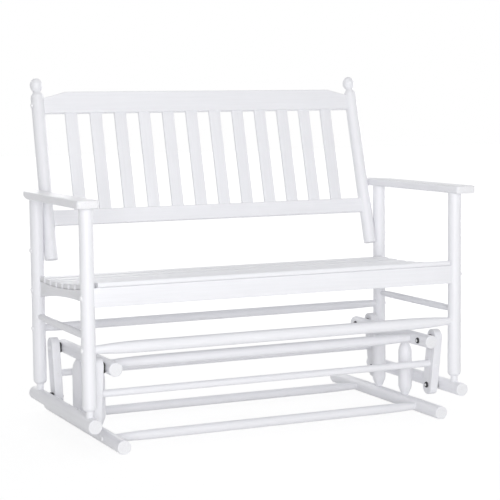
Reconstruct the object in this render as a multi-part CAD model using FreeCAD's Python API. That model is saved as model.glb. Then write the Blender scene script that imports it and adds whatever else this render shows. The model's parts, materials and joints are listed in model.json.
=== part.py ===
import FreeCAD, Part
import math
import os

Vector = FreeCAD.Vector

# Glider bench for two, painted wood, millimetres.
# X runs along the bench, -Y is the front, +Z is up.
# The origin is the middle of the base's footprint, at the floor.

# Round stock
rail_radius = 19.0             # rails, legs and back posts
rail_end_round = 3.0
floor_flat = 1.5               # flat planed along the underside of each floor rail

# Fits
glue_gap = 0.15                # around a glued tenon, dowel or coped end
face_gap = 0.3                 # between faces that slide past each other
running_gap = 0.05             # radial, pivot bolt in its bush
open_pivot_gap = 1.8           # radial, rear lower bush, which floats about its bolt
arm_side_gap = 6.5             # a swing arm's face to the round rail beside it

# Where the main lines are
leg_half_width = 555.0         # middle of the bench to a leg's centre
leg_half_depth = 220.0
swing_center_y = -36.0         # middle between the front and rear swing arms
seat_forward = 16.0            # middle between the legs, ahead of the swing arms' middle
runner_z = 77.0                # centre of the seat runners and lower pivots
upper_rail_z = 214.0           # centre of the upper rails and upper pivots
armrest_bottom_z = 642.0

# Base, places along Y counted from the swing arms' middle
base_depth = 652.0             # length of the floor rails
upper_rail_front_overhang = 46.0  # past the front upper pivots
upper_rail_rear_overhang = 34.0
base_post_offset = [-84.0, 73.0]
floor_stretcher_offset = [-166.0, 191.0]
cross_rail_offset = -134.0

# Base posts, turned
post_radius = 20.0
post_neck_radius = 9.5
post_tenon_radius = 8.5
post_tenon_depth = 18.0
post_foot_height = 25.0        # from the floor rail to the full radius
post_dome_height = 32.0        # from the full radius to the upper rail

# Turned stretchers
floor_stretcher_radius = 13.5
cross_rail_radius = 15.0
front_stretcher_radius = 16.5
rear_stretcher_radius = 13.0
stretcher_end_radius = 10.5
stretcher_taper = 130.0
stretcher_tenon_depth = 13.0

# Swing arms
top_pivot_half = 188.0         # swing centre to an upper pivot
bottom_pivot_half = 166.0      # swing centre to a lower pivot
arm_width = 46.0
arm_thickness = 24.0
arm_above_pivot = 30.5
arm_below_pivot = 28.5
arm_edge_round = 2.0
arm_dowel_radius = 9.0
arm_dowel_socket = 14.0
arm_dowel_drop = 3.0           # below half-way between the pivots

# Pivot hardware
bolt_radius = 4.0
bush_wall = 3.0
open_bush_wall = 2.2
spacer_radius = 13.0
spacer_seat_depth = 1.9
pivot_head_radius = 9.5
pivot_head_height = 2.6
pivot_head_round = 1.2
pivot_nut_radius = 8.8
pivot_nut_height = 6.5
pivot_nut_collar = 2.0
pivot_nut_step = 1.0           # collar's edge inwards to the dome
pivot_nut_round = 2.5
pivot_nut_seat_depth = 1.0
runner_bolt_reach = 25.0       # lower pivot bolt into the seat runner

# Seat frame
runner_front_overhang = 45.0
runner_rear_overhang = 52.0
leg_neck_radius = 10.3
leg_neck_length = 15.0         # straight, above the runner
leg_foot_height = 13.0         # from the neck to the full radius
leg_tenon_depth = 22.0
leg_dowel_radius = 10.0        # tenon at the leg's top, up into the arm rest
leg_dowel_depth = 12.0
leg_stretcher_z = 272.0
side_stretcher_z = 306.0
side_stretcher_radius = 10.0
side_stretcher_end_radius = 7.5
side_stretcher_taper = 70.0
side_stretcher_depth = 12.0

# Seat
dish_radius = 2066.0           # side view of the seat's hollow
dish_low_back = 110.0          # middle of the legs back to the hollow's lowest line
dish_low_z = 403.5
side_rail_thickness = 18.0
side_rail_offset = 10.0        # leg's centre line inwards to the side rail's centre
side_rail_under_radius = 2150.0
side_rail_under_forward = 150.0
side_rail_under_drop = 12.0    # top of the underside's arch, below the hollow's lowest line
apron_thickness = 20.0
apron_height = 40.75           # at its rear face
apron_forward = 2.0            # leg's centre line forwards to the apron's centre
rear_rail_thickness = 20.0
rear_rail_height = 42.0
bearer_thickness = 20.0
bearer_height = 30.0
slat_count = 7
slat_width = 42.0
slat_thickness = 14.0
slat_round = 3.0
slat_seat_gap = 0.05           # under the two edges of a flat slat on the dished rails
slat_leg_gap = 1.0
nose_slat_width = 60.0
nose_slat_forward = 6.0        # front slat's nose ahead of the apron's face
nose_slat_leg_gap = 5.0
nose_round = 6.0

# Arm rests
armrest_thickness = 22.0
armrest_inset = 22.0           # leg's centre line inwards to the inner edge
armrest_width = 61.0
armrest_front_overhang = 50.0
armrest_rear_overhang = 80.0
armrest_sweep = 120.0          # length of the curved rear corner
armrest_corner = 10.0
armrest_edge_round = 4.0

# Back, drawn upright from the foot of the posts and then leaned over
back_lean = 14.65              # degrees from upright
back_foot_forward = 11.0       # rear legs' centre line forwards to the foot of the posts
back_foot_z = 465.6
back_post_gap = 0.3            # between a back post and its leg
back_post_lean_in = 0.65       # degrees, the two posts lean towards each other
lower_rail_bottom = 98.0       # above the foot of the posts
lower_rail_height = 43.5
back_rail_thickness = 20.0
back_slat_length = 284.2       # between the two rails
crest_height = 63.0
crest_end_height = 44.0
crest_slope_length = 63.6
board_edge_round = 3.0
back_slat_count = 12
back_slat_margin = 63.5        # crest rail's end to the outermost slat
back_slat_width = 37.5
back_slat_thickness = 10.0
back_slat_tenon = 10.0
back_slat_round = 2.0

# Top of a back post, each height counted from the one before
post_above_crest = 6.3         # crest rail's end to the shoulder
shoulder_rise = 11.0
shoulder_drop_radius = 16.5
neck_rise = 3.0
finial_neck_radius = 12.8
finial_rise = 22.0
finial_radius = 18.8
finial_crown = 22.0

# Frame bolts, each a shank under a domed cap
shank_radius = 3.0
cap_radius = 7.0
cap_height = 3.2
cap_edge = 1.2
cap_seat_depth = 1.5
bolt_reach = 30.0              # past the rail or leg into the piece it holds
apron_bolt_height = 20.0       # above the apron's lower edge
rear_rail_bolt_height = 17.0   # above the rear rail's lower edge
post_bolt_height = 29.0        # above the foot of the back posts

# Worked out from the sizes above
floor_rail_z = rail_radius - floor_flat
base_half_width = leg_half_width - 2 * rail_radius - arm_thickness - 2 * arm_side_gap
base_outer_x = base_half_width + rail_radius
base_inner_x = base_half_width - rail_radius
runner_inner_x = leg_half_width - rail_radius
leg_outer_x = leg_half_width + rail_radius
arm_inner_x = base_outer_x + arm_side_gap
arm_outer_x = arm_inner_x + arm_thickness
bush_radius = bolt_radius + running_gap + bush_wall
open_bush_radius = bolt_radius + open_pivot_gap + open_bush_wall
base_post_y = [swing_center_y + offset for offset in base_post_offset]
floor_stretcher_y = [swing_center_y + offset for offset in floor_stretcher_offset]
cross_rail_y = swing_center_y + cross_rail_offset
top_pivot_y = [swing_center_y - top_pivot_half, swing_center_y + top_pivot_half]
bottom_pivot_y = [swing_center_y - bottom_pivot_half, swing_center_y + bottom_pivot_half]
seat_center_y = swing_center_y - seat_forward
front_leg_y = seat_center_y - leg_half_depth
rear_leg_y = seat_center_y + leg_half_depth
dish_low_y = seat_center_y + dish_low_back
side_rail_x = leg_half_width - side_rail_offset
side_rail_under_y = seat_center_y - side_rail_under_forward
side_rail_under_z = dish_low_z - side_rail_under_drop
apron_y = front_leg_y - apron_forward
apron_front_y = apron_y - apron_thickness / 2
apron_rear_y = apron_y + apron_thickness / 2
nose_front_y = apron_front_y - nose_slat_forward
nose_rear_y = nose_front_y + nose_slat_width
slat_rear_y = rear_leg_y - rail_radius - slat_leg_gap
slat_pitch = (slat_rear_y - nose_rear_y) / slat_count
armrest_inner_x = leg_half_width - armrest_inset
back_foot_y = rear_leg_y - back_foot_forward
back_post_x = leg_half_width - 2 * rail_radius - back_post_gap
back_post_lean = math.tan(math.radians(back_post_lean_in))
lower_rail_top = lower_rail_bottom + lower_rail_height
crest_bottom = lower_rail_top + back_slat_length
crest_end_top = crest_bottom + crest_end_height
crest_top = crest_bottom + crest_height
post_shoulder = crest_end_top + post_above_crest
shoulder_top = post_shoulder + shoulder_rise
finial_neck = shoulder_top + neck_rise
finial_equator = finial_neck + finial_rise
back_post_height = finial_equator + finial_crown
side_names = {"left": -1, "right": 1}
overcut = 1.0                  # how far a cutter starts outside the wood
touch = 0.01                   # two points nearer than this are the same
mostly = 0.5                   # share of an edge's direction that counts as along an axis
end_names = {"front": 0, "rear": 1}

AXIS_X = Vector(1, 0, 0)
AXIS_Y = Vector(0, 1, 0)
AXIS_Z = Vector(0, 0, 1)


# A shape drawn along X, moved so that it starts at a point and runs in a direction
def placed(shape, start, direction):
    moved = shape.copy()
    moved.Placement = FreeCAD.Placement(start, FreeCAD.Rotation(AXIS_X, direction))
    return moved


def rod(start, end, radius):
    return Part.makeCylinder(radius, (end - start).Length, start, end - start)


# A rod with rounded rims
def eased_rod(start, end, radius, rim):
    plain = rod(start, end, radius)
    rims = [edge for edge in plain.Edges if isinstance(edge.Curve, Part.Circle)]
    return plain.makeFillet(rim, rims)


def ring(start, end, outer_radius, inner_radius):
    return rod(start, end, outer_radius).cut(rod(start, end, inner_radius))


def box(low, high):
    size = high - low
    return Part.makeBox(size.x, size.y, size.z, low)


# A disc's edge rounded on the side where its top is
def rounded_top(disc, top, radius):
    rim = [edge for edge in disc.Edges
           if isinstance(edge.Curve, Part.Circle) and edge.CenterOfMass.distanceToPoint(top) < touch]
    return disc.makeFillet(radius, rim)


def runs_along(edge, axis):
    return abs(edge.tangentAt(edge.FirstParameter).dot(axis)) > mostly


# Straight profile line of a turned piece: distance along the axis and radius
def flank(along_a, radius_a, along_b, radius_b):
    return Part.makeLine(Vector(along_a, radius_a, 0), Vector(along_b, radius_b, 0))


# Profile arc that leaves the full radius smoothly and ends at a smaller one
def swell(along_full, radius_full, along_end, radius_end):
    drop = radius_full - radius_end
    run = abs(along_end - along_full)
    arc_radius = (drop ** 2 + run ** 2) / (2 * drop)
    half_angle = math.asin(run / arc_radius) / 2
    sign = math.copysign(1, along_end - along_full)
    middle = Vector(
        along_full + sign * arc_radius * math.sin(half_angle),
        radius_full - arc_radius * (1 - math.cos(half_angle)),
        0,
    )
    start = Vector(along_full, radius_full, 0)
    end = Vector(along_end, radius_end, 0)
    return Part.Arc(start, middle, end).toShape()


# Turned solid from a chain of profile edges that runs from low to high along X
def turned(edges):
    outline = sorted(edges, key=lambda edge: edge.CenterOfMass.x)
    first = min((v.Point for v in outline[0].Vertexes), key=lambda p: (p.x, p.y))
    last = max((v.Point for v in outline[-1].Vertexes), key=lambda p: (p.x, -p.y))
    closing = [Part.makeLine(Vector(first.x, 0, 0), Vector(last.x, 0, 0))]
    if first.y > 0:
        closing.append(Part.makeLine(Vector(first.x, 0, 0), first))
    if last.y > 0:
        closing.append(Part.makeLine(last, Vector(last.x, 0, 0)))
    wire = Part.Wire(Part.__sortEdges__(outline + closing))
    return Part.Face(wire).revolve(Vector(0, 0, 0), AXIS_X, 360)


# Round the long edges of a board that runs in a direction
def ease_long_edges(board, direction, radius):
    picked = []
    for edge in board.Edges:
        if isinstance(edge.Curve, Part.Line) and edge.Curve.Direction.cross(direction).Length < touch:
            picked.append(edge)
    return board.makeFillet(radius, picked)


def drilled(piece, tools):
    return piece.cut(Part.makeCompound(tools)) if tools else piece


# Frame bolt: a domed cap on a round piece's surface, with its shank running inwards
def frame_bolt(surface, inwards, reach):
    seat = surface + inwards * cap_seat_depth
    top = surface - inwards * cap_height
    cap = rounded_top(rod(seat, top, cap_radius), top, cap_edge)
    return cap.fuse(rod(seat, surface + inwards * reach, shank_radius))


# The room that a frame bolt needs in the wood
def frame_bolt_room(surface, inwards, reach):
    seat = surface + inwards * cap_seat_depth
    cap_room = rod(seat, surface - inwards * cap_height, cap_radius + glue_gap)
    return cap_room.fuse(rod(seat, surface + inwards * (reach + glue_gap), shank_radius + glue_gap))


# Where the frame bolts are: point on the outer surface, direction inwards and reach
def seat_bolts():
    bolts = []
    for side in side_names.values():
        inwards = Vector(-side, 0, 0)
        through_leg = 2 * rail_radius
        for leg_y in (front_leg_y, rear_leg_y):
            bolts.append((Vector(side * leg_outer_x, leg_y, leg_stretcher_z), inwards,
                          through_leg + bolt_reach))
        apron_bolt_z = apron_bottom() + apron_bolt_height
        bolts.append((Vector(side * leg_outer_x, apron_y, apron_bolt_z), inwards,
                      through_leg + bolt_reach))
        rear_rail_bolt_z = rear_rail_bottom() + rear_rail_bolt_height
        bolts.append((Vector(side * leg_outer_x, rear_leg_y, rear_rail_bolt_z), inwards,
                      through_leg + bolt_reach))
        bolts.append((Vector(side * leg_outer_x, rear_leg_y, back_foot_z + post_bolt_height), inwards,
                      through_leg + back_post_gap + rail_radius))
    return bolts


def back_bolts():
    bolts = []
    crest_bolt = (crest_bottom + crest_end_top) / 2
    lower_bolt = (lower_rail_bottom + lower_rail_top) / 2
    for side in side_names.values():
        inwards = Vector(-side, 0, 0)
        for height in (crest_bolt, lower_bolt):
            surface = back_point(side * (post_x(height) + rail_radius), 0, height)
            bolts.append((surface, inwards, 2 * rail_radius + bolt_reach))
    return bolts


def base_bolts():
    bolts = []
    for side in side_names.values():
        inwards = Vector(-side, 0, 0)
        for y in floor_stretcher_y:
            bolts.append((Vector(side * base_outer_x, y, floor_rail_z), inwards,
                          2 * rail_radius + bolt_reach))
        bolts.append((Vector(side * base_outer_x, cross_rail_y, upper_rail_z), inwards,
                      2 * rail_radius + bolt_reach))
    return bolts


def bolt_rooms(bolts):
    return [frame_bolt_room(*bolt) for bolt in bolts]


# A point of the upright back, leaned over about the foot of the posts
def back_point(x, forward, height):
    lean = math.radians(back_lean)
    y = back_foot_y + height * math.sin(lean) - forward * math.cos(lean)
    z = back_foot_z + height * math.cos(lean) + forward * math.sin(lean)
    return Vector(x, y, z)


# Half the distance between the axes of the back posts at a height
def post_x(height):
    return back_post_x - height * back_post_lean


# A post's rod in the upright back
def post_room(side, height, extra):
    return rod(Vector(side * post_x(0), 0, 0), Vector(side * post_x(height), 0, height),
               rail_radius + extra)


# A shape of the upright back, leaned over
def leaned(shape):
    moved = shape.copy()
    moved.rotate(Vector(0, 0, 0), AXIS_X, -back_lean)
    moved.translate(Vector(0, back_foot_y, back_foot_z))
    return moved


# Height of the dished seat line under the slats
def dish_z(y):
    return dish_low_z + dish_radius - math.sqrt(dish_radius ** 2 - (y - dish_low_y) ** 2)


def dish_tilt(y):
    return math.degrees(math.asin((y - dish_low_y) / dish_radius))


def apron_bottom():
    return dish_z(apron_rear_y) - apron_height


def rear_rail_bottom():
    return dish_z(rear_leg_y) - rear_rail_height


# Base pieces

# Turned piece that swells towards its middle and ends in two tenons, drawn along X
def stretcher(half_span, radius, end_radius, taper, tenon_depth):
    full = half_span - taper
    end = half_span + tenon_depth
    return turned([
        flank(-end, end_radius, -half_span, end_radius),
        swell(-full, radius, -half_span, end_radius),
        flank(-full, radius, full, radius),
        swell(full, radius, half_span, end_radius),
        flank(half_span, end_radius, end, end_radius),
    ])


def stretcher_sockets(x_inner, side, y, z):
    start = Vector(side * (x_inner - overcut), y, z)
    end = Vector(side * (x_inner + stretcher_tenon_depth + glue_gap), y, z)
    return rod(start, end, stretcher_end_radius + glue_gap)


def floor_rail(side):
    half = base_depth / 2
    x = side * base_half_width
    rail = eased_rod(Vector(x, -half, floor_rail_z), Vector(x, half, floor_rail_z),
                     rail_radius, rail_end_round)
    under = box(Vector(x - rail_radius, -half, -rail_radius), Vector(x + rail_radius, half, 0))
    sockets = [stretcher_sockets(base_inner_x, side, y, floor_rail_z) for y in floor_stretcher_y]
    sockets += [post_socket(x, y, floor_rail_z + rail_radius, -1) for y in base_post_y]
    return drilled(rail, [under] + sockets + bolt_rooms(base_bolts()))


def post_socket(x, y, face_z, direction):
    start = Vector(x, y, face_z - direction * overcut)
    end = Vector(x, y, face_z + direction * (post_tenon_depth + glue_gap))
    return rod(start, end, post_tenon_radius + glue_gap)


def base_post(side, y):
    foot = floor_rail_z + rail_radius
    head = upper_rail_z - rail_radius
    full_low = foot + post_foot_height
    full_high = head - post_dome_height
    turning = turned([
        flank(foot - post_tenon_depth, post_tenon_radius, foot, post_tenon_radius),
        flank(foot, post_tenon_radius, foot, post_neck_radius),
        swell(full_low, post_radius, foot, post_neck_radius),
        flank(full_low, post_radius, full_high, post_radius),
        swell(full_high, post_radius, head, post_neck_radius),
        flank(head, post_neck_radius, head, post_tenon_radius),
        flank(head, post_tenon_radius, head + post_tenon_depth, post_tenon_radius),
    ])
    return placed(turning, Vector(side * base_half_width, y, 0), AXIS_Z)


def upper_rail(side):
    x = side * base_half_width
    front = top_pivot_y[0] - upper_rail_front_overhang
    rear = top_pivot_y[1] + upper_rail_rear_overhang
    rail = eased_rod(Vector(x, front, upper_rail_z), Vector(x, rear, upper_rail_z),
                     rail_radius, rail_end_round)
    tools = [stretcher_sockets(base_inner_x, side, cross_rail_y, upper_rail_z)]
    tools += [post_socket(x, y, upper_rail_z - rail_radius, 1) for y in base_post_y]
    for y in top_pivot_y:
        outer = Vector(side * base_outer_x, y, upper_rail_z)
        inner = Vector(side * base_inner_x, y, upper_rail_z)
        tools.append(rod(inner, outer, bolt_radius + glue_gap))
        tools.append(rod(outer - AXIS_X * side * spacer_seat_depth, outer + AXIS_X * side * overcut,
                         spacer_radius + glue_gap))
        tools.append(rod(inner + AXIS_X * side * pivot_nut_seat_depth,
                         inner - AXIS_X * side * overcut,
                         pivot_nut_radius + glue_gap))
    return drilled(rail, tools + bolt_rooms(base_bolts()))


def cross_stretcher(half_span, radius, y, z, bolts):
    turning = stretcher(half_span, radius, stretcher_end_radius, stretcher_taper,
                        stretcher_tenon_depth)
    return drilled(placed(turning, Vector(0, y, z), AXIS_X), bolt_rooms(bolts))


# Pivot hardware

# Domed nut: a collar with a rounded cap, from its seat outwards
def domed_nut(seat, outwards):
    collar_end = seat + outwards * pivot_nut_collar
    collar = rod(seat, collar_end, pivot_nut_radius)
    top = seat + outwards * pivot_nut_height
    dome = rod(collar_end, top, pivot_nut_radius - pivot_nut_step)
    return collar.fuse(rounded_top(dome, top, pivot_nut_round))


def top_pivot_bolts():
    pieces = []
    for side in side_names.values():
        for y in top_pivot_y:
            outwards = AXIS_X * side
            head_seat = Vector(side * (arm_outer_x + face_gap), y, upper_rail_z)
            head_top = head_seat + outwards * pivot_head_height
            head = rounded_top(rod(head_seat, head_top, pivot_head_radius), head_top,
                               pivot_head_round)
            nut_seat = Vector(side * (base_inner_x + pivot_nut_seat_depth), y, upper_rail_z)
            pieces.append(head.fuse(rod(nut_seat, head_seat, bolt_radius)))
            pieces.append(domed_nut(nut_seat, -outwards))
    return Part.makeCompound(pieces)


def top_pivot_spacers():
    pieces = []
    for side in side_names.values():
        for y in top_pivot_y:
            seat = Vector(side * (base_outer_x - spacer_seat_depth), y, upper_rail_z)
            end = Vector(side * (arm_inner_x - face_gap), y, upper_rail_z)
            pieces.append(ring(seat, end, spacer_radius, bolt_radius + running_gap))
    return Part.makeCompound(pieces)


def bottom_pivot_bolts():
    pieces = []
    for side in side_names.values():
        for y in bottom_pivot_y:
            outwards = AXIS_X * side
            head_seat = Vector(side * (arm_inner_x - face_gap), y, runner_z)
            tip = Vector(side * (runner_inner_x + runner_bolt_reach), y, runner_z)
            pieces.append(domed_nut(head_seat, -outwards).fuse(rod(head_seat, tip, bolt_radius)))
    return Part.makeCompound(pieces)


def bottom_pivot_spacers():
    pieces = []
    for side in side_names.values():
        for y in bottom_pivot_y:
            seat = Vector(side * (runner_inner_x + spacer_seat_depth), y, runner_z)
            end = Vector(side * (arm_outer_x + face_gap), y, runner_z)
            pieces.append(ring(seat, end, spacer_radius, bolt_radius + running_gap))
    return Part.makeCompound(pieces)


# Swing arms, one pair at the front and one at the rear

def arm_ends(end):
    top = Vector(0, top_pivot_y[end], upper_rail_z)
    bottom = Vector(0, bottom_pivot_y[end], runner_z)
    return top, bottom


# Where the dowel crosses the arm
def arm_dowel_center(end):
    top, bottom = arm_ends(end)
    down = (bottom - top).normalize()
    return (top + bottom) * 0.5 + down * arm_dowel_drop


# The radius of the bush in an eye; the rear lower eye floats
def eye_radius(end, is_top):
    return open_bush_radius if end == end_names["rear"] and not is_top else bush_radius


def eye_bore(end, is_top):
    floats = end == end_names["rear"] and not is_top
    return bolt_radius + (open_pivot_gap if floats else running_gap)


def swing_arm(side, end):
    top, bottom = arm_ends(end)
    along = (top - bottom).normalize()
    half = arm_width / 2
    high = top + along * (arm_above_pivot - half)
    low = bottom - along * (arm_below_pivot - half)
    across = along.cross(AXIS_X) * half
    start = AXIS_X * (side * (arm_inner_x + arm_thickness / 2) - arm_thickness / 2)
    corners = [high + across, high + along * half, high - across,
               low - across, low - along * half, low + across]
    outline = Part.Wire([
        Part.Arc(corners[0], corners[1], corners[2]).toShape(),
        Part.makeLine(corners[2], corners[3]),
        Part.Arc(corners[3], corners[4], corners[5]).toShape(),
        Part.makeLine(corners[5], corners[0]),
    ])
    blank = Part.Face(outline).extrude(AXIS_X * arm_thickness)
    blank.translate(start)
    rims = [edge for edge in blank.Edges if not runs_along(edge, AXIS_X)]
    blank = blank.makeFillet(arm_edge_round, rims)
    near = AXIS_X * (side * arm_inner_x)
    far = AXIS_X * (side * arm_outer_x)
    tools = [
        rod(near + top, far + top, eye_radius(end, True) + running_gap),
        rod(near + bottom, far + bottom, eye_radius(end, False) + running_gap),
    ]
    middle = arm_dowel_center(end)
    dowel_tip = AXIS_X * (side * (arm_inner_x + arm_dowel_socket + glue_gap))
    tools.append(rod(near + middle, dowel_tip + middle, arm_dowel_radius + glue_gap))
    return drilled(blank, tools)


def arm_dowel(end):
    reach = AXIS_X * (arm_inner_x + arm_dowel_socket)
    middle = arm_dowel_center(end)
    return rod(middle - reach, middle + reach, arm_dowel_radius)


def arm_bushes(end):
    pieces = []
    for side in side_names.values():
        for is_top, center in zip((True, False), arm_ends(end)):
            near = AXIS_X * (side * arm_inner_x) + center
            far = AXIS_X * (side * arm_outer_x) + center
            pieces.append(ring(near, far, eye_radius(end, is_top), eye_bore(end, is_top)))
    return Part.makeCompound(pieces)


# Seat frame

def leg_room(side, y, extra):
    return rod(Vector(side * leg_half_width, y, runner_z),
               Vector(side * leg_half_width, y, armrest_bottom_z), rail_radius + extra)


def seat_runner(side):
    x = side * leg_half_width
    rail = eased_rod(Vector(x, front_leg_y - runner_front_overhang, runner_z),
                     Vector(x, rear_leg_y + runner_rear_overhang, runner_z),
                     rail_radius, rail_end_round)
    top = runner_z + rail_radius
    tools = []
    for y in (front_leg_y, rear_leg_y):
        tools.append(rod(Vector(x, y, top - leg_tenon_depth - glue_gap), Vector(x, y, top + overcut),
                         leg_neck_radius + glue_gap))
    for y in bottom_pivot_y:
        face = Vector(side * runner_inner_x, y, runner_z)
        tip = Vector(side * (runner_inner_x + runner_bolt_reach + glue_gap), y, runner_z)
        tools.append(rod(face, tip, bolt_radius + glue_gap))
        tools.append(rod(face - AXIS_X * side * overcut, face + AXIS_X * side * spacer_seat_depth,
                         spacer_radius + glue_gap))
    return drilled(rail, tools)


def leg(side, end):
    y = rear_leg_y if end else front_leg_y
    foot = runner_z + rail_radius
    neck_top = foot + leg_neck_length
    shoulder = neck_top + leg_foot_height
    turning = turned([
        flank(foot - leg_tenon_depth, leg_neck_radius, neck_top, leg_neck_radius),
        swell(shoulder, rail_radius, neck_top, leg_neck_radius),
        flank(shoulder, rail_radius, armrest_bottom_z, rail_radius),
        flank(armrest_bottom_z, rail_radius, armrest_bottom_z, leg_dowel_radius),
        flank(armrest_bottom_z, leg_dowel_radius, armrest_bottom_z + leg_dowel_depth,
              leg_dowel_radius),
    ])
    shape = placed(turning, Vector(side * leg_half_width, y, 0), AXIS_Z)
    tools = [stretcher_sockets(runner_inner_x, side, y, leg_stretcher_z)]
    tools.append(side_stretcher_room(side))
    return drilled(shape, tools + bolt_rooms(seat_bolts()))


def side_stretcher_span():
    return leg_half_depth - rail_radius


def side_stretcher_room(side):
    reach = AXIS_Y * (side_stretcher_span() + side_stretcher_depth + glue_gap)
    middle = Vector(side * leg_half_width, seat_center_y, side_stretcher_z)
    return rod(middle - reach, middle + reach, side_stretcher_end_radius + glue_gap)


def side_stretcher(side):
    turning = stretcher(side_stretcher_span(), side_stretcher_radius, side_stretcher_end_radius,
                        side_stretcher_taper, side_stretcher_depth)
    middle = Vector(side * leg_half_width, seat_center_y, side_stretcher_z)
    return placed(turning, middle, AXIS_Y)


# Arc through three points of the side view, at the side rail's inner face
def side_arc(x, y_values, height):
    points = [Vector(x, y, height(y)) for y in y_values]
    return Part.Arc(*points).toShape()


def seat_side_rail(side):
    x = side * side_rail_x - side_rail_thickness / 2
    ys = [front_leg_y, (front_leg_y + rear_leg_y) / 2, rear_leg_y]

    def under(y):
        drop = side_rail_under_radius - math.sqrt(side_rail_under_radius ** 2
                                                  - (y - side_rail_under_y) ** 2)
        return side_rail_under_z - drop

    top = side_arc(x, ys, dish_z)
    bottom = side_arc(x, ys, under)
    front = Part.makeLine(Vector(x, ys[0], under(ys[0])), Vector(x, ys[0], dish_z(ys[0])))
    rear = Part.makeLine(Vector(x, ys[2], under(ys[2])), Vector(x, ys[2], dish_z(ys[2])))
    wire = Part.Wire(Part.__sortEdges__([top, rear, bottom, front]))
    board = Part.Face(wire).extrude(AXIS_X * side_rail_thickness)
    tools = [leg_room(side, y, glue_gap) for y in (front_leg_y, rear_leg_y)]
    return biggest_solid(drilled(board, tools + [rail_room(side)]))


def biggest_solid(shape):
    return max(shape.Solids, key=lambda solid: solid.Volume)


# Room for the apron and the rear rail where the side rails meet them
def rail_room(side):
    x = side * side_rail_x
    half = side_rail_thickness
    front = box(Vector(x - half, apron_y - apron_thickness, 0),
                Vector(x + half, apron_rear_y + glue_gap, armrest_bottom_z))
    rear_front = rear_leg_y - rear_rail_thickness / 2 - glue_gap
    rear = box(Vector(x - half, rear_front, 0),
               Vector(x + half, rear_leg_y + rear_rail_thickness, armrest_bottom_z))
    return front.fuse(rear)


# The apron's upper edge slopes with the front slat that lies on it
def front_apron():
    corners = [(apron_front_y, apron_bottom()), (apron_rear_y, apron_bottom()),
               (apron_rear_y, dish_z(apron_rear_y)), (apron_front_y, dish_z(apron_front_y))]
    points = [Vector(-leg_half_width, y, z) for y, z in corners]
    board = Part.Face(Part.makePolygon(points + points[:1])).extrude(AXIS_X * 2 * leg_half_width)
    tools = [leg_room(side, front_leg_y, glue_gap) for side in side_names.values()]
    return biggest_solid(drilled(board, tools + bolt_rooms(seat_bolts())))


def rear_seat_rail():
    half = rear_rail_thickness / 2
    board = box(Vector(-leg_half_width, rear_leg_y - half, rear_rail_bottom()),
                Vector(leg_half_width, rear_leg_y + half, dish_z(rear_leg_y)))
    tools = [leg_room(side, rear_leg_y, glue_gap) for side in side_names.values()]
    return biggest_solid(drilled(board, tools + bolt_rooms(seat_bolts())))


# Middle bearer from the apron to the rear rail, dished like the side rails
def center_bearer():
    x = -bearer_thickness / 2
    low_y = apron_rear_y
    high_y = rear_leg_y - rear_rail_thickness / 2
    ys = [low_y, (low_y + high_y) / 2, high_y]
    top = side_arc(x, ys, dish_z)
    bottom = side_arc(x, ys, lambda y: dish_z(y) - bearer_height)
    front = Part.makeLine(top.Vertexes[0].Point, bottom.Vertexes[0].Point)
    rear = Part.makeLine(top.Vertexes[1].Point, bottom.Vertexes[1].Point)
    wire = Part.Wire(Part.__sortEdges__([top, rear, bottom, front]))
    return Part.Face(wire).extrude(AXIS_X * bearer_thickness)


# Seat slats

def slat_rows():
    return [slat_rear_y - slat_width / 2 - index * slat_pitch for index in range(slat_count)]


# A flat slat drawn level, moved onto the dish so that it rests on its two lower edges
def on_dish(slat, y, width):
    rise = dish_radius - math.sqrt(dish_radius ** 2 - (width / 2) ** 2) + slat_seat_gap
    moved = slat.copy()
    moved.translate(Vector(0, 0, rise))
    moved.rotate(Vector(0, 0, 0), AXIS_X, dish_tilt(y))
    moved.translate(Vector(0, y, dish_z(y)))
    return moved


# A level board for a slat, and those of its long edges that a test picks
def slat_board(half_length, width):
    return box(Vector(-half_length, -width / 2, 0), Vector(half_length, width / 2, slat_thickness))


def long_edges(board, wanted):
    along = [edge for edge in board.Edges if abs(edge.CenterOfMass.x) < touch]
    return [edge for edge in along if wanted(edge.CenterOfMass)]


def seat_slat(y):
    board = slat_board(leg_half_width, slat_width)
    upper = long_edges(board, lambda middle: middle.z > slat_thickness / 2)
    return on_dish(board.makeFillet(slat_round, upper), y, slat_width)


# The front slat lies between the front legs and has a rounded nose
def nose_slat():
    board = slat_board(runner_inner_x - nose_slat_leg_gap, nose_slat_width)
    board = board.makeFillet(nose_round, long_edges(board, lambda middle: middle.y < 0))
    heel = long_edges(board, lambda middle: middle.y > nose_slat_width / 2 - slat_round
                      and middle.z > slat_thickness / 2)
    board = board.makeFillet(slat_round, heel)
    return on_dish(board, (nose_rear_y + nose_front_y) / 2, nose_slat_width)


def seat_slats():
    return Part.makeCompound([seat_slat(y) for y in slat_rows()] + [nose_slat()])


# Arm rests

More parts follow.
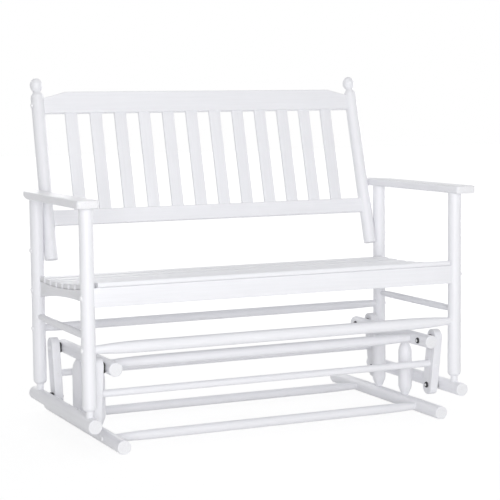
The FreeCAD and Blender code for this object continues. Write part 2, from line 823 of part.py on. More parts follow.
def armrest(side):
    inner = armrest_inner_x
    outer = armrest_inner_x + armrest_width
    front = front_leg_y - armrest_front_overhang
    rear = rear_leg_y + armrest_rear_overhang
    sweep_start = rear - armrest_sweep
    corner = armrest_corner
    curve = Part.Ellipse(Vector(0, 0, 0), armrest_sweep, armrest_width)
    sweep = Part.ArcOfEllipse(curve, 0, math.pi / 2).toShape()
    sweep.rotate(Vector(0, 0, 0), AXIS_Z, 90)
    sweep = sweep.mirror(Vector(0, 0, 0), AXIS_X)
    sweep.translate(Vector(inner, sweep_start, 0))
    bend = corner * (1 - math.cos(math.pi / 4))
    edges = [
        sweep,
        Part.makeLine(Vector(inner, rear, 0), Vector(inner, front + corner, 0)),
        Part.Arc(Vector(inner, front + corner, 0), Vector(inner + bend, front + bend, 0),
                 Vector(inner + corner, front, 0)).toShape(),
        Part.makeLine(Vector(inner + corner, front, 0), Vector(outer - corner, front, 0)),
        Part.Arc(Vector(outer - corner, front, 0), Vector(outer - bend, front + bend, 0),
                 Vector(outer, front + corner, 0)).toShape(),
        Part.makeLine(Vector(outer, front + corner, 0), Vector(outer, sweep_start, 0)),
    ]
    wire = Part.Wire(Part.__sortEdges__(edges))
    board = Part.Face(wire).extrude(AXIS_Z * armrest_thickness)
    rims = [edge for edge in board.Edges if not runs_along(edge, AXIS_Z)]
    board = board.makeFillet(armrest_edge_round, rims)
    board.translate(Vector(0, 0, armrest_bottom_z))
    if side < 0:
        board = board.mirror(Vector(0, 0, 0), AXIS_X)
    tools = [leaned(post_room(side, back_post_height, glue_gap))]
    for y in (front_leg_y, rear_leg_y):
        foot = Vector(side * leg_half_width, y, armrest_bottom_z - overcut)
        tip = Vector(side * leg_half_width, y, armrest_bottom_z + leg_dowel_depth + glue_gap)
        tools.append(rod(foot, tip, leg_dowel_radius + glue_gap))
    return biggest_solid(drilled(board, tools))


# Back

def back_post(side):
    finial = Part.Ellipse(Vector(finial_equator, 0, 0), finial_crown, finial_radius)
    crown = Part.ArcOfEllipse(finial, 0, math.pi / 2).toShape()
    turning = turned([
        flank(0, rail_radius, post_shoulder, rail_radius),
        swell(post_shoulder, rail_radius, shoulder_top, shoulder_drop_radius),
        flank(shoulder_top, shoulder_drop_radius, finial_neck, finial_neck_radius),
        swell(finial_equator, finial_radius, finial_neck, finial_neck_radius),
        crown,
    ])
    axis = Vector(-side * back_post_lean, 0, 1)
    upright = placed(turning, Vector(side * post_x(0), 0, 0), axis)
    return drilled(leaned(upright), bolt_rooms(back_bolts()) + bolt_rooms(seat_bolts()))


# A board of the back, drawn upright from its outline in X and height
def back_board(outline):
    points = [Vector(x, -back_rail_thickness / 2, height) for x, height in outline]
    wire = Part.makePolygon(points + points[:1])
    board = Part.Face(wire).extrude(AXIS_Y * back_rail_thickness)
    eased = [edge for edge in board.Edges if runs_along(edge, AXIS_X)]
    board = board.makeFillet(board_edge_round, eased)
    posts = [post_room(side, post_shoulder, glue_gap) for side in side_names.values()]
    mortises = [back_slat_block(index, glue_gap) for index in range(back_slat_count)]
    upright = biggest_solid(drilled(board, posts + mortises))
    return drilled(leaned(upright), bolt_rooms(back_bolts()))


def crest_end_x():
    return post_x(crest_end_top) - rail_radius


def crest_rail():
    reach = post_x(crest_end_top)
    flat_half = crest_end_x() - crest_slope_length
    slope = (crest_top - crest_end_top) / crest_slope_length
    end_height = crest_end_top - slope * rail_radius
    outline = [(-reach, crest_bottom), (reach, crest_bottom), (reach, end_height),
               (flat_half, crest_top), (-flat_half, crest_top), (-reach, end_height)]
    return back_board(outline)


def lower_back_rail():
    reach = post_x(lower_rail_top)
    outline = [(-reach, lower_rail_bottom), (reach, lower_rail_bottom), (reach, lower_rail_top),
               (-reach, lower_rail_top)]
    return back_board(outline)


# A back slat with its tenons, upright; room is added for its mortises
def back_slat_block(index, room):
    outermost = crest_end_x() - back_slat_margin - back_slat_width / 2
    x = outermost * (2 * index / (back_slat_count - 1) - 1)
    half_width = back_slat_width / 2 + room
    half_thickness = back_slat_thickness / 2 + room
    low = lower_rail_top - back_slat_tenon - room
    high = crest_bottom + back_slat_tenon + room
    return box(Vector(x - half_width, -half_thickness, low),
               Vector(x + half_width, half_thickness, high))


def back_slat(index):
    return leaned(ease_long_edges(back_slat_block(index, 0), AXIS_Z, back_slat_round))


def bolt_set(bolts):
    return Part.makeCompound([frame_bolt(*bolt) for bolt in bolts])


# Every piece by its name

def base_parts():
    parts = {}
    for name, side in side_names.items():
        parts[name + "_floor_rail"] = floor_rail(side)
        parts[name + "_upper_rail"] = upper_rail(side)
        for end_name, end in end_names.items():
            parts[name + "_" + end_name + "_base_post"] = base_post(side, base_post_y[end])
    for end_name, end in end_names.items():
        parts[end_name + "_floor_stretcher"] = cross_stretcher(
            base_inner_x, floor_stretcher_radius, floor_stretcher_y[end], floor_rail_z,
            base_bolts())
    parts["upper_cross_rail"] = cross_stretcher(base_inner_x, cross_rail_radius, cross_rail_y,
                                                upper_rail_z, base_bolts())
    parts["base_bolts"] = bolt_set(base_bolts())
    parts["top_pivot_bolts"] = top_pivot_bolts()
    parts["top_pivot_spacers"] = top_pivot_spacers()
    return parts


def swing_parts():
    parts = {}
    for end_name, end in end_names.items():
        for name, side in side_names.items():
            parts[name + "_" + end_name + "_swing_arm"] = swing_arm(side, end)
        parts[end_name + "_swing_dowel"] = arm_dowel(end)
        parts[end_name + "_arm_bushes"] = arm_bushes(end)
    return parts


def seat_parts():
    parts = {}
    for name, side in side_names.items():
        parts[name + "_seat_runner"] = seat_runner(side)
        parts[name + "_seat_side_rail"] = seat_side_rail(side)
        parts[name + "_side_stretcher"] = side_stretcher(side)
        parts[name + "_armrest"] = armrest(side)
        for end_name, end in end_names.items():
            parts[name + "_" + end_name + "_leg"] = leg(side, end)
    parts["front_leg_stretcher"] = cross_stretcher(
        runner_inner_x, front_stretcher_radius, front_leg_y, leg_stretcher_z, seat_bolts())
    parts["rear_leg_stretcher"] = cross_stretcher(
        runner_inner_x, rear_stretcher_radius, rear_leg_y, leg_stretcher_z, seat_bolts())
    parts["front_apron"] = front_apron()
    parts["rear_seat_rail"] = rear_seat_rail()
    parts["center_bearer"] = center_bearer()
    parts["seat_slats"] = seat_slats()
    parts["seat_frame_bolts"] = bolt_set(seat_bolts())
    parts["bottom_pivot_bolts"] = bottom_pivot_bolts()
    parts["bottom_pivot_spacers"] = bottom_pivot_spacers()
    return parts


def back_parts():
    parts = {}
    for name, side in side_names.items():
        parts[name + "_back_post"] = back_post(side)
    parts["crest_rail"] = crest_rail()
    parts["lower_back_rail"] = lower_back_rail()
    parts["back_bolts"] = bolt_set(back_bolts())
    for index in range(back_slat_count):
        parts["back_slat_%02d" % (index + 1)] = back_slat(index)
    return parts


os.makedirs("parts", exist_ok=True)
for group in (base_parts(), swing_parts(), seat_parts(), back_parts()):
    for node, shape in group.items():
        shape.exportStep("parts/" + node + ".step")
        print(node, len(shape.Solids), "solid(s)", round(shape.Volume), "mm3")
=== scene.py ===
import json
import random
from math import asin, copysign, cos, inf, pi, radians, sin, sqrt, tan

import bmesh
import bpy
from mathutils import Matrix, Vector
from mathutils.geometry import tessellate_polygon

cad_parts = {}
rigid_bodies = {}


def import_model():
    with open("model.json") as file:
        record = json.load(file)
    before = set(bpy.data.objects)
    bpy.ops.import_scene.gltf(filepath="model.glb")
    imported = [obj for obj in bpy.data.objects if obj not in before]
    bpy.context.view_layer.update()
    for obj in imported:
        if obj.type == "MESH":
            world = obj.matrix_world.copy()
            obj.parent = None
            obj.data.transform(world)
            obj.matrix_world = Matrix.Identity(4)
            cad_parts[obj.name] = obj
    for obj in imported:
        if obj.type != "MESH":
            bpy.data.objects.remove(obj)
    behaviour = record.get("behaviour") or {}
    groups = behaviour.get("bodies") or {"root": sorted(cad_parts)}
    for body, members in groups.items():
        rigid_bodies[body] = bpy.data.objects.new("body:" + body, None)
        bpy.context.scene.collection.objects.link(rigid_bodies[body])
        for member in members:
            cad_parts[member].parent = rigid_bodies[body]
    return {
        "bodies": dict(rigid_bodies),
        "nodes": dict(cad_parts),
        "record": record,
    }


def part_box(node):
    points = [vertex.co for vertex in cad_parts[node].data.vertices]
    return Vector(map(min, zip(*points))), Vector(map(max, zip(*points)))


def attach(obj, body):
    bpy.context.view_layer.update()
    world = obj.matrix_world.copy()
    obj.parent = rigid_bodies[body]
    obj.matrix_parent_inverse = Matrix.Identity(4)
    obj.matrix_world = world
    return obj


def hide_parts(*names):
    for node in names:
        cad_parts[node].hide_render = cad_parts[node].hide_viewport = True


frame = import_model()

# The start-up file's objects go, so that only the bench is measured
benchObjects = set(frame["nodes"].values()) | set(frame["bodies"].values())
for stray in [thing for thing in bpy.data.objects if thing not in benchObjects]:
    bpy.data.objects.remove(stray)
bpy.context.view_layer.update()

scene = bpy.context.scene
mm = 0.001
alongX, alongY, alongZ = Vector((1, 0, 0)), Vector((0, 1, 0)), Vector((0, 0, 1))
sectionAxes = (alongY, alongZ, alongX)  # for a section seen along the bench
sides = {"left": -1, "right": 1}
ends = ("front", "rear")
bodies = frame["record"]["behaviour"]["bodies"]
bodyOf = {node: body for body, members in bodies.items() for node in members}
woodSlot, capSlot, boltSlot = "white_painted_wood", "bolt_cap_white", "pivot_bolt_metal"
woodDraw = random.Random(31)


def addObject(name, data):
    thing = bpy.data.objects.new(name, data)
    scene.collection.objects.link(thing)
    return thing


# Camera, in metres and degrees

cameraSizes = {
    "place": (-1.7994, -4.0086, 0.9188), "target": (0.0084, -0.052, 0.4857), "lens": 110.06,
    "sensor": 36.0, "roll": -0.577, "farthest": 80.0,
}


def makeCamera(place, target, lens, sensor, roll, farthest):
    data = bpy.data.cameras.new("benchCamera")
    data.lens, data.sensor_width, data.clip_end = lens, sensor, farthest
    place, target = Vector(place), Vector(target)
    level = (target - place).to_track_quat("-Z", "Y").to_matrix().to_4x4()
    scene.camera = addObject("benchCamera", data)
    scene.camera.matrix_world = Matrix.Translation(place) @ level @ Matrix.Rotation(radians(roll), 4, "Z")


makeCamera(**cameraSizes)
print("camera set")


# Node helpers

class Field:
    # A node's output that can be used in ordinary sums
    def __init__(self, graph, socket):
        self.graph, self.socket = graph, socket

    def __add__(self, other):
        return self.graph.math("ADD", self, other)

    def __sub__(self, other):
        return self.graph.math("SUBTRACT", self, other)

    def __rsub__(self, other):
        return self.graph.math("SUBTRACT", other, self)

    def __mul__(self, other):
        return self.graph.math("MULTIPLY", self, other)

    def __truediv__(self, other):
        return self.graph.math("DIVIDE", self, other)

    def __rtruediv__(self, other):
        return self.graph.math("DIVIDE", other, self)

    __radd__, __rmul__ = __add__, __mul__


class Graph:
    def __init__(self, tree):
        self.tree = tree

    # Any node: its type, the values or links of its sockets, then its settings
    def node(self, kind, sockets=None, **settings):
        node = self.tree.nodes.new(kind)
        for name, value in settings.items():
            setattr(node, name, value)
        for name, value in (sockets or {}).items():
            if isinstance(value, Field):
                self.tree.links.new(value.socket, node.inputs[name])
            else:
                node.inputs[name].default_value = value
        return node

    def field(self, kind, sockets=None, output=0, **settings):
        return Field(self, self.node(kind, sockets, **settings).outputs[output])

    def math(self, operation, *values):
        return self.field("ShaderNodeMath", dict(enumerate(values)), operation=operation)

    def vectors(self, operation, *values):
        return self.field("ShaderNodeVectorMath", dict(enumerate(values)), operation=operation)

    def vector(self, x, y, z):
        return self.field("ShaderNodeCombineXYZ", {0: x, 1: y, 2: z})

    def split(self, vector):
        parts = self.node("ShaderNodeSeparateXYZ", {0: vector})
        return [Field(self, output) for output in parts.outputs]

    # One shader to light the bench, one for what the camera, a mirror or a glass sees
    def forCamera(self, plain, shown):
        rays = self.node("ShaderNodeLightPath").outputs
        seen = Field(self, rays["Is Camera Ray"])
        for kind in ("Is Glossy Ray", "Is Transmission Ray"):
            seen = self.math("MAXIMUM", seen, Field(self, rays[kind]))
        return self.field("ShaderNodeMixShader", {0: seen, 1: plain, 2: shown})


class Finish(Graph):
    # A material; place is a point's place in the wood, or in the piece's own coordinates
    def __init__(self, name, inWood=True):
        self.material = bpy.data.materials.new(name)
        self.material.use_nodes = True
        super().__init__(self.material.node_tree)
        self.tree.nodes.clear()
        self.place = self.attribute("grain") if inWood else self.field("ShaderNodeTexCoord", None, "Object")

    def attribute(self, name):
        return self.field("ShaderNodeAttribute", None, "Vector", attribute_name=name)

    def masks(self):
        return self.split(self.attribute("board"))

    # With a second scale it is stretched: the first one counts along the fibres
    def noise(self, scale, detail=3, across=None):
        place = self.place
        if across:
            place, scale = self.vectors("MULTIPLY", place, (scale, across, across)), 1.0
        return self.field("ShaderNodeTexNoise", {"Vector": place, "Scale": scale, "Detail": detail,
                                                 "Roughness": 0.55})

    def ramp(self, value, low, high):
        sockets = {"Value": value, "From Min": low, "From Max": high}
        return self.field("ShaderNodeMapRange", sockets, interpolation_type="SMOOTHSTEP")

    def mixed(self, factor, first, second):
        return self.field("ShaderNodeMix", {0: factor, 6: first, 7: second}, 2, data_type="RGBA")

    def shaded(self, color, brightness):
        plain = color if isinstance(color, Field) else color[:3]
        return self.field("ShaderNodeVectorMath", {0: plain, "Scale": brightness}, operation="SCALE")

    # Ends the material; height is its fine relief
    def surface(self, sizes, color, roughness, height, metal=0.0):
        depth, strength = sizes["relief"]
        bump = self.field("ShaderNodeBump", {"Height": height, "Distance": depth, "Strength": strength})
        coat, coatRoughness = sizes.get("coat", (0.0, 0.03))
        shader = self.field("ShaderNodeBsdfPrincipled", {
            "Base Color": color, "Roughness": roughness, "Normal": bump, "Metallic": metal,
            "Coat Weight": coat, "Coat Roughness": coatRoughness})
        self.node("ShaderNodeOutputMaterial", {"Surface": shader})
        return self.material


# Finishes. relief is a depth in metres and a strength, coat a weight and a roughness

paintSizes = {
    "color": (0.862, 0.863, 0.893, 1), "endColor": (0.84, 0.84, 0.858, 1),
    "rubbedColor": (0.745, 0.735, 0.715, 1), "roughness": 0.42, "relief": (0.00022, 0.32),
    "toneSpread": 0.035, "streaks": 0.085, "clouds": 0.04, "coat": (0.08, 0.25),
}


def whitePaint(sizes):
    finish = Finish("whitePaint")
    tone, endFace, edge = finish.masks()
    streaks = finish.noise(6, 5, 210)
    fibres = finish.noise(45, 2, 900)
    brush = finish.noise(22, 2, 480)
    clouds = finish.noise(11)
    pores = finish.ramp(finish.noise(38, 1, 1150), 0.66, 0.78)
    rubbed = edge * finish.ramp(finish.noise(260, 2) + clouds * 0.35, 0.70, 0.86)
    speckle = endFace * finish.ramp(finish.noise(620, 2), 0.44, 0.66)
    light = (1.0 + (tone - 0.5) * sizes["toneSpread"] + (streaks - 0.5) * sizes["streaks"]
             + (clouds - 0.5) * sizes["clouds"])
    color = finish.mixed(endFace * 0.8, sizes["color"], sizes["endColor"])
    color = finish.shaded(color, light - pores * 0.03 - speckle * 0.07)
    color = finish.mixed(rubbed * 0.35, color, sizes["rubbedColor"])
    roughness = (sizes["roughness"] + (clouds - 0.5) * 0.16 + (streaks - 0.5) * 0.12 + rubbed * 0.15
                 + endFace * 0.12)
    height = streaks * 0.9 + fibres * 0.25 + brush * 0.35 - pores * 0.45 - rubbed * 0.5
    return finish.surface(sizes, color, roughness, height)


enamelSizes = {
    "color": (0.9, 0.9, 0.92, 1), "roughness": 0.3, "relief": (0.00006, 0.4),
    "coat": (0.25, 0.12),
}


def capEnamel(sizes):
    finish = Finish("capEnamel")
    worn = finish.masks()[2]
    clouds = finish.noise(420)
    color = finish.shaded(sizes["color"], 0.99 + (clouds - 0.5) * 0.05 - worn * 0.06)
    roughness = sizes["roughness"] + (clouds - 0.5) * 0.18
    height = finish.noise(1500, 2) + clouds
    return finish.surface(sizes, color, roughness, height)


boltSizes = {
    "black": (0.02, 0.021, 0.024, 1), "worn": (0.36, 0.36, 0.38, 1),
    "steel": (0.8, 0.8, 0.81, 1), "roughness": 0.44, "relief": (0.00008, 0.45),
}


def blackBolt(sizes):
    finish = Finish("blackBolt")
    steel, sunk, edge = finish.masks()
    flecks = finish.noise(900)
    grit = finish.noise(2600, 2)
    worn = finish.ramp(edge * 0.7 + flecks * 0.6, 0.72, 0.98) * (1 - sunk)
    metal = finish.math("MAXIMUM", steel, worn * 0.6)
    color = finish.mixed(worn * 0.6, sizes["black"], sizes["worn"])
    color = finish.shaded(finish.mixed(steel, color, sizes["steel"]), 0.9 + (flecks - 0.5) * 0.4)
    roughness = sizes["roughness"] - metal * 0.12 + (grit - 0.5) * 0.2
    return finish.surface(sizes, color, roughness, grit + flecks, metal)


nylonSizes = {
    "color": (0.024, 0.024, 0.026, 1), "shade": (0.045, 0.045, 0.048, 1), "roughness": 0.5,
    "relief": (0.00005, 0.5),
}


# For the CAD spacers and bushes too, so it reads the piece's own coordinates
def blackNylon(sizes):
    finish = Finish("blackNylon", inWood=False)
    clouds = finish.noise(160)
    lathe = finish.noise(2600, 2, 60)
    color = finish.mixed(finish.ramp(clouds, 0.3, 0.75), sizes["color"], sizes["shade"])
    color = finish.shaded(color, 0.97 + (lathe - 0.5) * 0.2)
    roughness = sizes["roughness"] + (clouds - 0.5) * 0.2
    return finish.surface(sizes, color, roughness, lathe + clouds * 0.6)


floorSizes = {
    "color": (0.9, 0.9, 0.9, 1), "seen": (0.2, 0.2, 0.2, 1),
    "nearGlow": (0.86, 0.86, 0.86, 1), "farGlow": (1, 1, 1, 1),
    "near": 1.0, "far": 2.6,  # metres from the middle of the bench
    "halfWidth": 20.0, "roughness": 0.8,
}


# The camera sees the bench's shadow, and a floor that turns white farther off
def paleFloor(sizes):
    finish = Finish("paleFloor", inWood=False)
    away = finish.field("ShaderNodeVectorMath", {0: finish.place}, 1, operation="LENGTH")
    far = finish.ramp(away, sizes["near"], sizes["far"])
    glow = finish.mixed(far, sizes["nearGlow"], sizes["farGlow"])
    clouds = 0.99 + (finish.noise(3) - 0.5) * 0.02
    shaders = []
    for color, sockets in ((sizes["color"], {"Specular IOR Level": 0.1}),
                           (sizes["seen"], {"Specular IOR Level": 0.0, "Emission Color": glow,
                                            "Emission Strength": 1.0})):
        sockets.update({"Base Color": finish.shaded(color, clouds), "Roughness": sizes["roughness"]})
        shaders.append(finish.field("ShaderNodeBsdfPrincipled", sockets))
    finish.node("ShaderNodeOutputMaterial", {"Surface": finish.forCamera(*shaders)})
    return finish.material


paint = whitePaint(paintSizes)
enamel = capEnamel(enamelSizes)
blackened = blackBolt(boltSizes)
nylon = blackNylon(nylonSizes)
print("finishes mixed")

# Light and floor: azimuth and elevation in degrees, distance and width in metres, power in watts
lampSizes = {
    "frontLamp": (-22, 5, 7.0, 3.0, 168), "fillLamp": (-12, 12, 2.7, 1.4, 11),
    "rightLamp": (120, 10, 5.0, 3.0, 88), "rearLamp": (180, 20, 3.5, 2.0, 15),
    "topLamp": (0, 85, 3.0, 2.4, 8),
}
studioSizes = {"lampTarget": (0, 0, 0.45), "skyColor": (0.985, 0.99, 1, 1), "skyStrength": 0.47}


def makeLamps(lamps, target):
    for name, (azimuth, elevation, distance, width, power) in lamps.items():
        data = bpy.data.lights.new(name, "AREA")
        data.shape, data.size, data.energy = "DISK", width, power
        azimuth, elevation = radians(azimuth), radians(elevation)
        away = Vector((sin(azimuth) * cos(elevation), -cos(azimuth) * cos(elevation), sin(elevation)))
        lamp = addObject(name, data)
        lamp.location = Vector(target) + away * distance
        lamp.rotation_mode = "QUATERNION"
        lamp.rotation_quaternion = (-away).to_track_quat("-Z", "Y")


def makeWorld(color, strength):
    scene.world = bpy.data.worlds.new("studio")
    scene.world.use_nodes = True
    graph = Graph(scene.world.node_tree)
    graph.tree.nodes.clear()
    light = graph.field("ShaderNodeBackground", {"Color": color, "Strength": strength})
    white = graph.field("ShaderNodeBackground", {"Color": (1, 1, 1, 1), "Strength": 1.0})
    graph.node("ShaderNodeOutputWorld", {"Surface": graph.forCamera(light, white)})


def makeFloor(sizes):
    half = sizes["halfWidth"]
    mesh = bpy.data.meshes.new("studioFloor")
    corners = [(-half, -half, 0), (half, -half, 0), (half, half, 0), (-half, half, 0)]
    mesh.from_pydata(corners, [], [(0, 1, 2, 3)])
    mesh.materials.append(paleFloor(sizes))
    addObject("studioFloor", mesh)


makeLamps(lampSizes, studioSizes["lampTarget"])
makeWorld(studioSizes["skyColor"], studioSizes["skyStrength"])
makeFloor(floorSizes)
scene.view_settings.view_transform = "Standard"
print("studio lit")


# Piece helpers

def pieceName(node):
    first, *rest = node.split("_")
    return first + "".join(word.capitalize() for word in rest)


# A piece's own stretch of wood and its own tone
def drawWood():
    return Vector([woodDraw.uniform(0, 4) for axis in range(3)]), woodDraw.random()


# Gathers a mesh in millimetres with the two attributes that finishes read:
# grain, a place in the wood with x along the fibres, and board, three masks
class Shape:
    def __init__(self):
        self.points, self.faces, self.grain, self.board = [], [], [], []
        self.shift, self.tone = drawWood()

    def point(self, place, grain, masks):
        self.points.append(place * mm)
        self.grain.append(Vector(grain) * mm + self.shift)
        self.board.append((self.tone, *masks))
        return len(self.points) - 1

    # Faces between one ring of points and the next; a ring may be a single point
    def skin(self, rings):
        for ring, following in zip(rings, rings[1:]):
            count = max(len(ring), len(following))
            for index in range(count):
                after = (index + 1) % count
                corners = (ring[index % len(ring)], ring[after % len(ring)],
                           following[after % len(following)], following[index % len(following)])
                self.faces.append(tuple(dict.fromkeys(corners)))

    def mesh(self, name):
        mesh = bpy.data.meshes.new(name)
        mesh.from_pydata(self.points, [], self.faces)
        for title, rows in (("grain", self.grain), ("board", self.board)):
            layer = mesh.attributes.new(title, "FLOAT_VECTOR", "POINT")
            layer.data.foreach_set("vector", [number for row in rows for number in row])
        tidy = bmesh.new()
        tidy.from_mesh(mesh)
        bmesh.ops.recalc_face_normals(tidy, faces=tidy.faces)
        tidy.to_mesh(mesh)
        tidy.free()
        return mesh


# Makes an object of a mesh, hangs it on its body and hides the CAD nodes it stands for
def place(name, mesh, finish, slot, nodes=(), body=None, sharp=40):
    mesh.name = name
    mesh.shade_smooth()
    mesh.set_sharp_from_angle(angle=radians(sharp))
    mesh.materials.clear()
    mesh.materials.append(finish)
    piece = addObject(name, mesh)
    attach(piece, body or bodyOf[nodes[0]])
    if nodes:
        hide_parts(*nodes)


def placeWood(node, shape):
    place(pieceName(node), shape.mesh(node), paint, woodSlot, [node])


# Low and high corner of a CAD node, in millimetres
def boxOf(node):
    low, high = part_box(node)
    return low / mm, high / mm


# Values strictly between two others, evenly spread
def between(first, last, steps):
    return [first + (last - first) * step / steps for step in range(1, steps)]


# Points of an arc with two radii, from one angle in degrees to another
def arc(center, radii, first, last, steps):
    turns = [radians(first + (last - first) * step / steps) for step in range(steps + 1)]
    return [(center[0] + radii[0] * cos(turn), center[1] + radii[1] * sin(turn)) for turn in turns]


def marked(rows, *masks):
    return [(*row, *masks) for row in rows]


# The rows of a profile, seen from its other end
def mirrored(rows, length):
    return [(length - along, *rest) for along, *rest in reversed(rows)]


# Turned pieces

# The turner's arc: it leaves the full radius smoothly and ends at a smaller one
def swell(fullAt, full, endAt, end, steps=14):
    run, drop = endAt - fullAt, full - end
    bend = (drop ** 2 + run ** 2) / (2 * drop)
    alongs = [run * step / steps for step in range(steps + 1)]
    return [(fullAt + along, full - bend + sqrt(bend ** 2 - along ** 2)) for along in alongs]


# Flat end of a rod with a rounded rim
def rimmedEnd(radius, rim, steps):
    face = radius - rim
    return [(0, 0), (0, face * 0.6), (0, face - 0.3),
            *marked(arc((rim, face), (-rim, rim), 0, 90, steps), 1)]


# Spins a profile about an axis. Each row gives a distance along it and a radius, then where they
# aren't 0 how worn the row is, and on a metal head how sunk it is and 1 where bare steel shows.
# A profile that starts off the axis makes a ring, and sunk rows can have flat sides
def turned(profile, start, axis, segments=56, lowest=-inf, wobble=0.0, metal=False, flatSides=None):
    shape = Shape()
    out = alongX if metal else axis.orthogonal().normalized()
    beside = axis.cross(out)
    rings = []
    for row in profile:
        along, radius, edge, sunk, steel = (*row, 0, 0, 0)[:5]
        if metal:
            shape.tone = steel
        else:
            sunk = int(along in (profile[0][0], profile[-1][0]))
        ring = []
        for index in range(segments if radius > 0 else 1):
            angle = 2 * pi * index / segments
            wide = radius
            if flatSides and sunk:
                corner = pi / flatSides
                wide *= cos(corner) / cos((angle + corner) % (2 * corner) - corner)
            uneven = wobble * edge * sin(5 * angle) * sin(2 * angle + 1)
            spot = start + axis * along + (out * cos(angle) + beside * sin(angle)) * (wide + uneven)
            spot.z = max(spot.z, lowest)
            ring.append(shape.point(spot, (along, wide * cos(angle), wide * sin(angle)), (sunk, edge)))
        rings.append(ring)
    shape.skin(rings if profile[0][1] == 0 else rings + rings[:1])
    return shape


railSizes = {"endRound": 3.0, "handEased": 0.35, "spacing": 24, "segments": 64}


def roundRail(node, endRound, handEased, spacing, segments):
    low, high = boxOf(node)
    radius, length = (high.x - low.x) / 2, high.y - low.y
    end = rimmedEnd(radius, endRound, 5) + [(endRound + 0.6, radius)]
    steps = max(2, round((length - 2 * endRound) / spacing))
    middle = [(along, radius) for along in between(endRound, length - endRound, steps)]
    start = Vector(((low.x + high.x) / 2, low.y, high.z - radius))
    profile = end + middle + mirrored(end, length)
    placeWood(node, turned(profile, start, alongY, segments, low.z, handEased))


for side in sides:
    for rail in ("_floor_rail", "_upper_rail", "_seat_runner"):
        roundRail(side + rail, **railSizes)
print("rails turned")

legSizes = {
    "neck": 10.3, "neckLength": 15.0, "tenon": 22.0, "footHeight": 13.0, "dowel": 10.0,
    "dowelHeight": 12.0, "spacing": 26.0,
}


# Foot of an upright piece, and its size
def uprightOf(node):
    low, high = boxOf(node)
    return Vector(((low.x + high.x) / 2, (low.y + high.y) / 2, low.z)), high - low


def frameLeg(node, neck, neckLength, tenon, footHeight, dowel, dowelHeight, spacing):
    foot, size = uprightOf(node)
    height, radius, neckTop = size.z, size.y / 2, tenon + neckLength
    shoulder, top = neckTop + footHeight, height - dowelHeight
    profile = [(0, 0), (0, neck), (tenon, neck), *reversed(swell(shoulder, radius, neckTop, neck))]
    steps = round((top - shoulder) / spacing)
    profile += [(along, radius) for along in [*between(shoulder, top, steps), top]]
    profile += [(top, dowel), (height, dowel), (height, 0)]
    placeWood(node, turned(profile, foot, alongZ))


postSizes = {
    "neck": 9.5, "tenon": 8.5, "tenonDepth": 18.0, "footHeight": 28.0, "footCurve": 1.35,
    "domeHeight": 32.0, "steps": 18,
}


def basePost(node, neck, tenon, tenonDepth, footHeight, footCurve, domeHeight, steps):
    foot, size = uprightOf(node)
    height, radius = size.z, size.x / 2
    profile = [(0, 0), (0, tenon), (tenonDepth, tenon), (tenonDepth, neck)]
    # The foot widens as a cone and rounds into the full post
    for share in [*between(0, 1, steps), 1]:
        narrower = (radius - neck) * (1 - share) ** footCurve
        profile.append((tenonDepth + footHeight * share, radius - narrower))
    top = height - tenonDepth
    profile += swell(top - domeHeight, radius, top, neck, steps)
    profile += [(top, tenon), (height, tenon), (height, 0)]
    placeWood(node, turned(profile, foot, alongZ))


for side in sides:
    for end in ends:
        frameLeg(side + "_" + end + "_leg", **legSizes)
        basePost(side + "_" + end + "_base_post", **postSizes)
print("legs and posts turned")

# The back leans over about its posts' feet

backSizes = {
    "lean": 14.65, "footY": 157.0, "footZ": 465.6, "postX": 516.7, "leanIn": 0.65,
    "postRadius": 19.0, "shoulder": 474.0, "shoulderRise": 14.0, "dropRadius": 12.6,
    "beadDrop": 0.9,  # the small ledge under the neck
    "neckRise": 6.0, "neckRadius": 11.6, "finialRise": 18.0, "finialRadius": 18.3,
    "finialCrown": 20.5, "footRim": 1.5,
}

backFoot = Vector((0, backSizes["footY"], backSizes["footZ"]))
backPlace = Matrix.Translation(backFoot) @ Matrix.Rotation(radians(-backSizes["lean"]), 4, "X")
backTurn = backPlace.to_3x3()
leanIn = tan(radians(backSizes["leanIn"]))


def postX(height):
    return backSizes["postX"] - height * leanIn


def backPost(side, sizes):
    radius, drop, waist, ball = (sizes[part + "Radius"] for part in ("post", "drop", "neck", "finial"))
    shoulder = sizes["shoulder"]
    shoulderTop = shoulder + sizes["shoulderRise"]
    neck = shoulderTop + sizes["neckRise"]
    equator = neck + sizes["finialRise"]
    profile = rimmedEnd(radius, sizes["footRim"], 4)
    profile += [(along, radius) for along in between(0, shoulder, 18)]
    profile += swell(shoulder, radius, shoulderTop, drop, 8)
    profile += [(shoulderTop + 2.0, drop - sizes["beadDrop"], 0.6), (neck - 0.6, waist + 0.35)]
    profile += reversed(swell(equator, ball, neck, waist))
    profile += arc((equator, 0), (sizes["finialCrown"], ball), 90, 0, 18)[1:]
    axis = Vector((-sides[side] * leanIn, 0, 1)).normalized()
    foot = backPlace @ Vector((sides[side] * postX(0), 0, 0))
    placeWood(side + "_back_post", turned(profile, foot, backTurn @ axis, 60))


for side in sides:
    backPost(side, backSizes)
print("back posts turned")


# Boards: an outline in its own plane, given a thickness and rounded edges

def flats(*pairs):
    return [Vector(pair) for pair in pairs]


def oblong(left, low, right, high):
    return flats((left, low), (right, low), (right, high), (left, high))


# Rounds an outline's corners that turn by more than an angle
def easedOutline(outline, radius, steps=4, sharpest=25):
    eased = []
    for index, corner in enumerate(outline):
        before, after = outline[index - 1], outline[(index + 1) % len(outline)]
        inward, outward = (before - corner).normalized(), (after - corner).normalized()
        turn = pi - inward.angle(outward)
        if turn < radians(sharpest):
            eased.append(corner)
            continue
        reach = radius * tan(turn / 2)
        middle = corner + (inward + outward).normalized() * (radius / cos(turn / 2))
        start, end = corner + inward * reach - middle, corner + outward * reach - middle
        for step in range(steps + 1):
            share = step / steps
            spoke = (start * sin((1 - share) * turn) + end * sin(share * turn)) / sin(turn)
            eased.append(middle + spoke)
    return eased


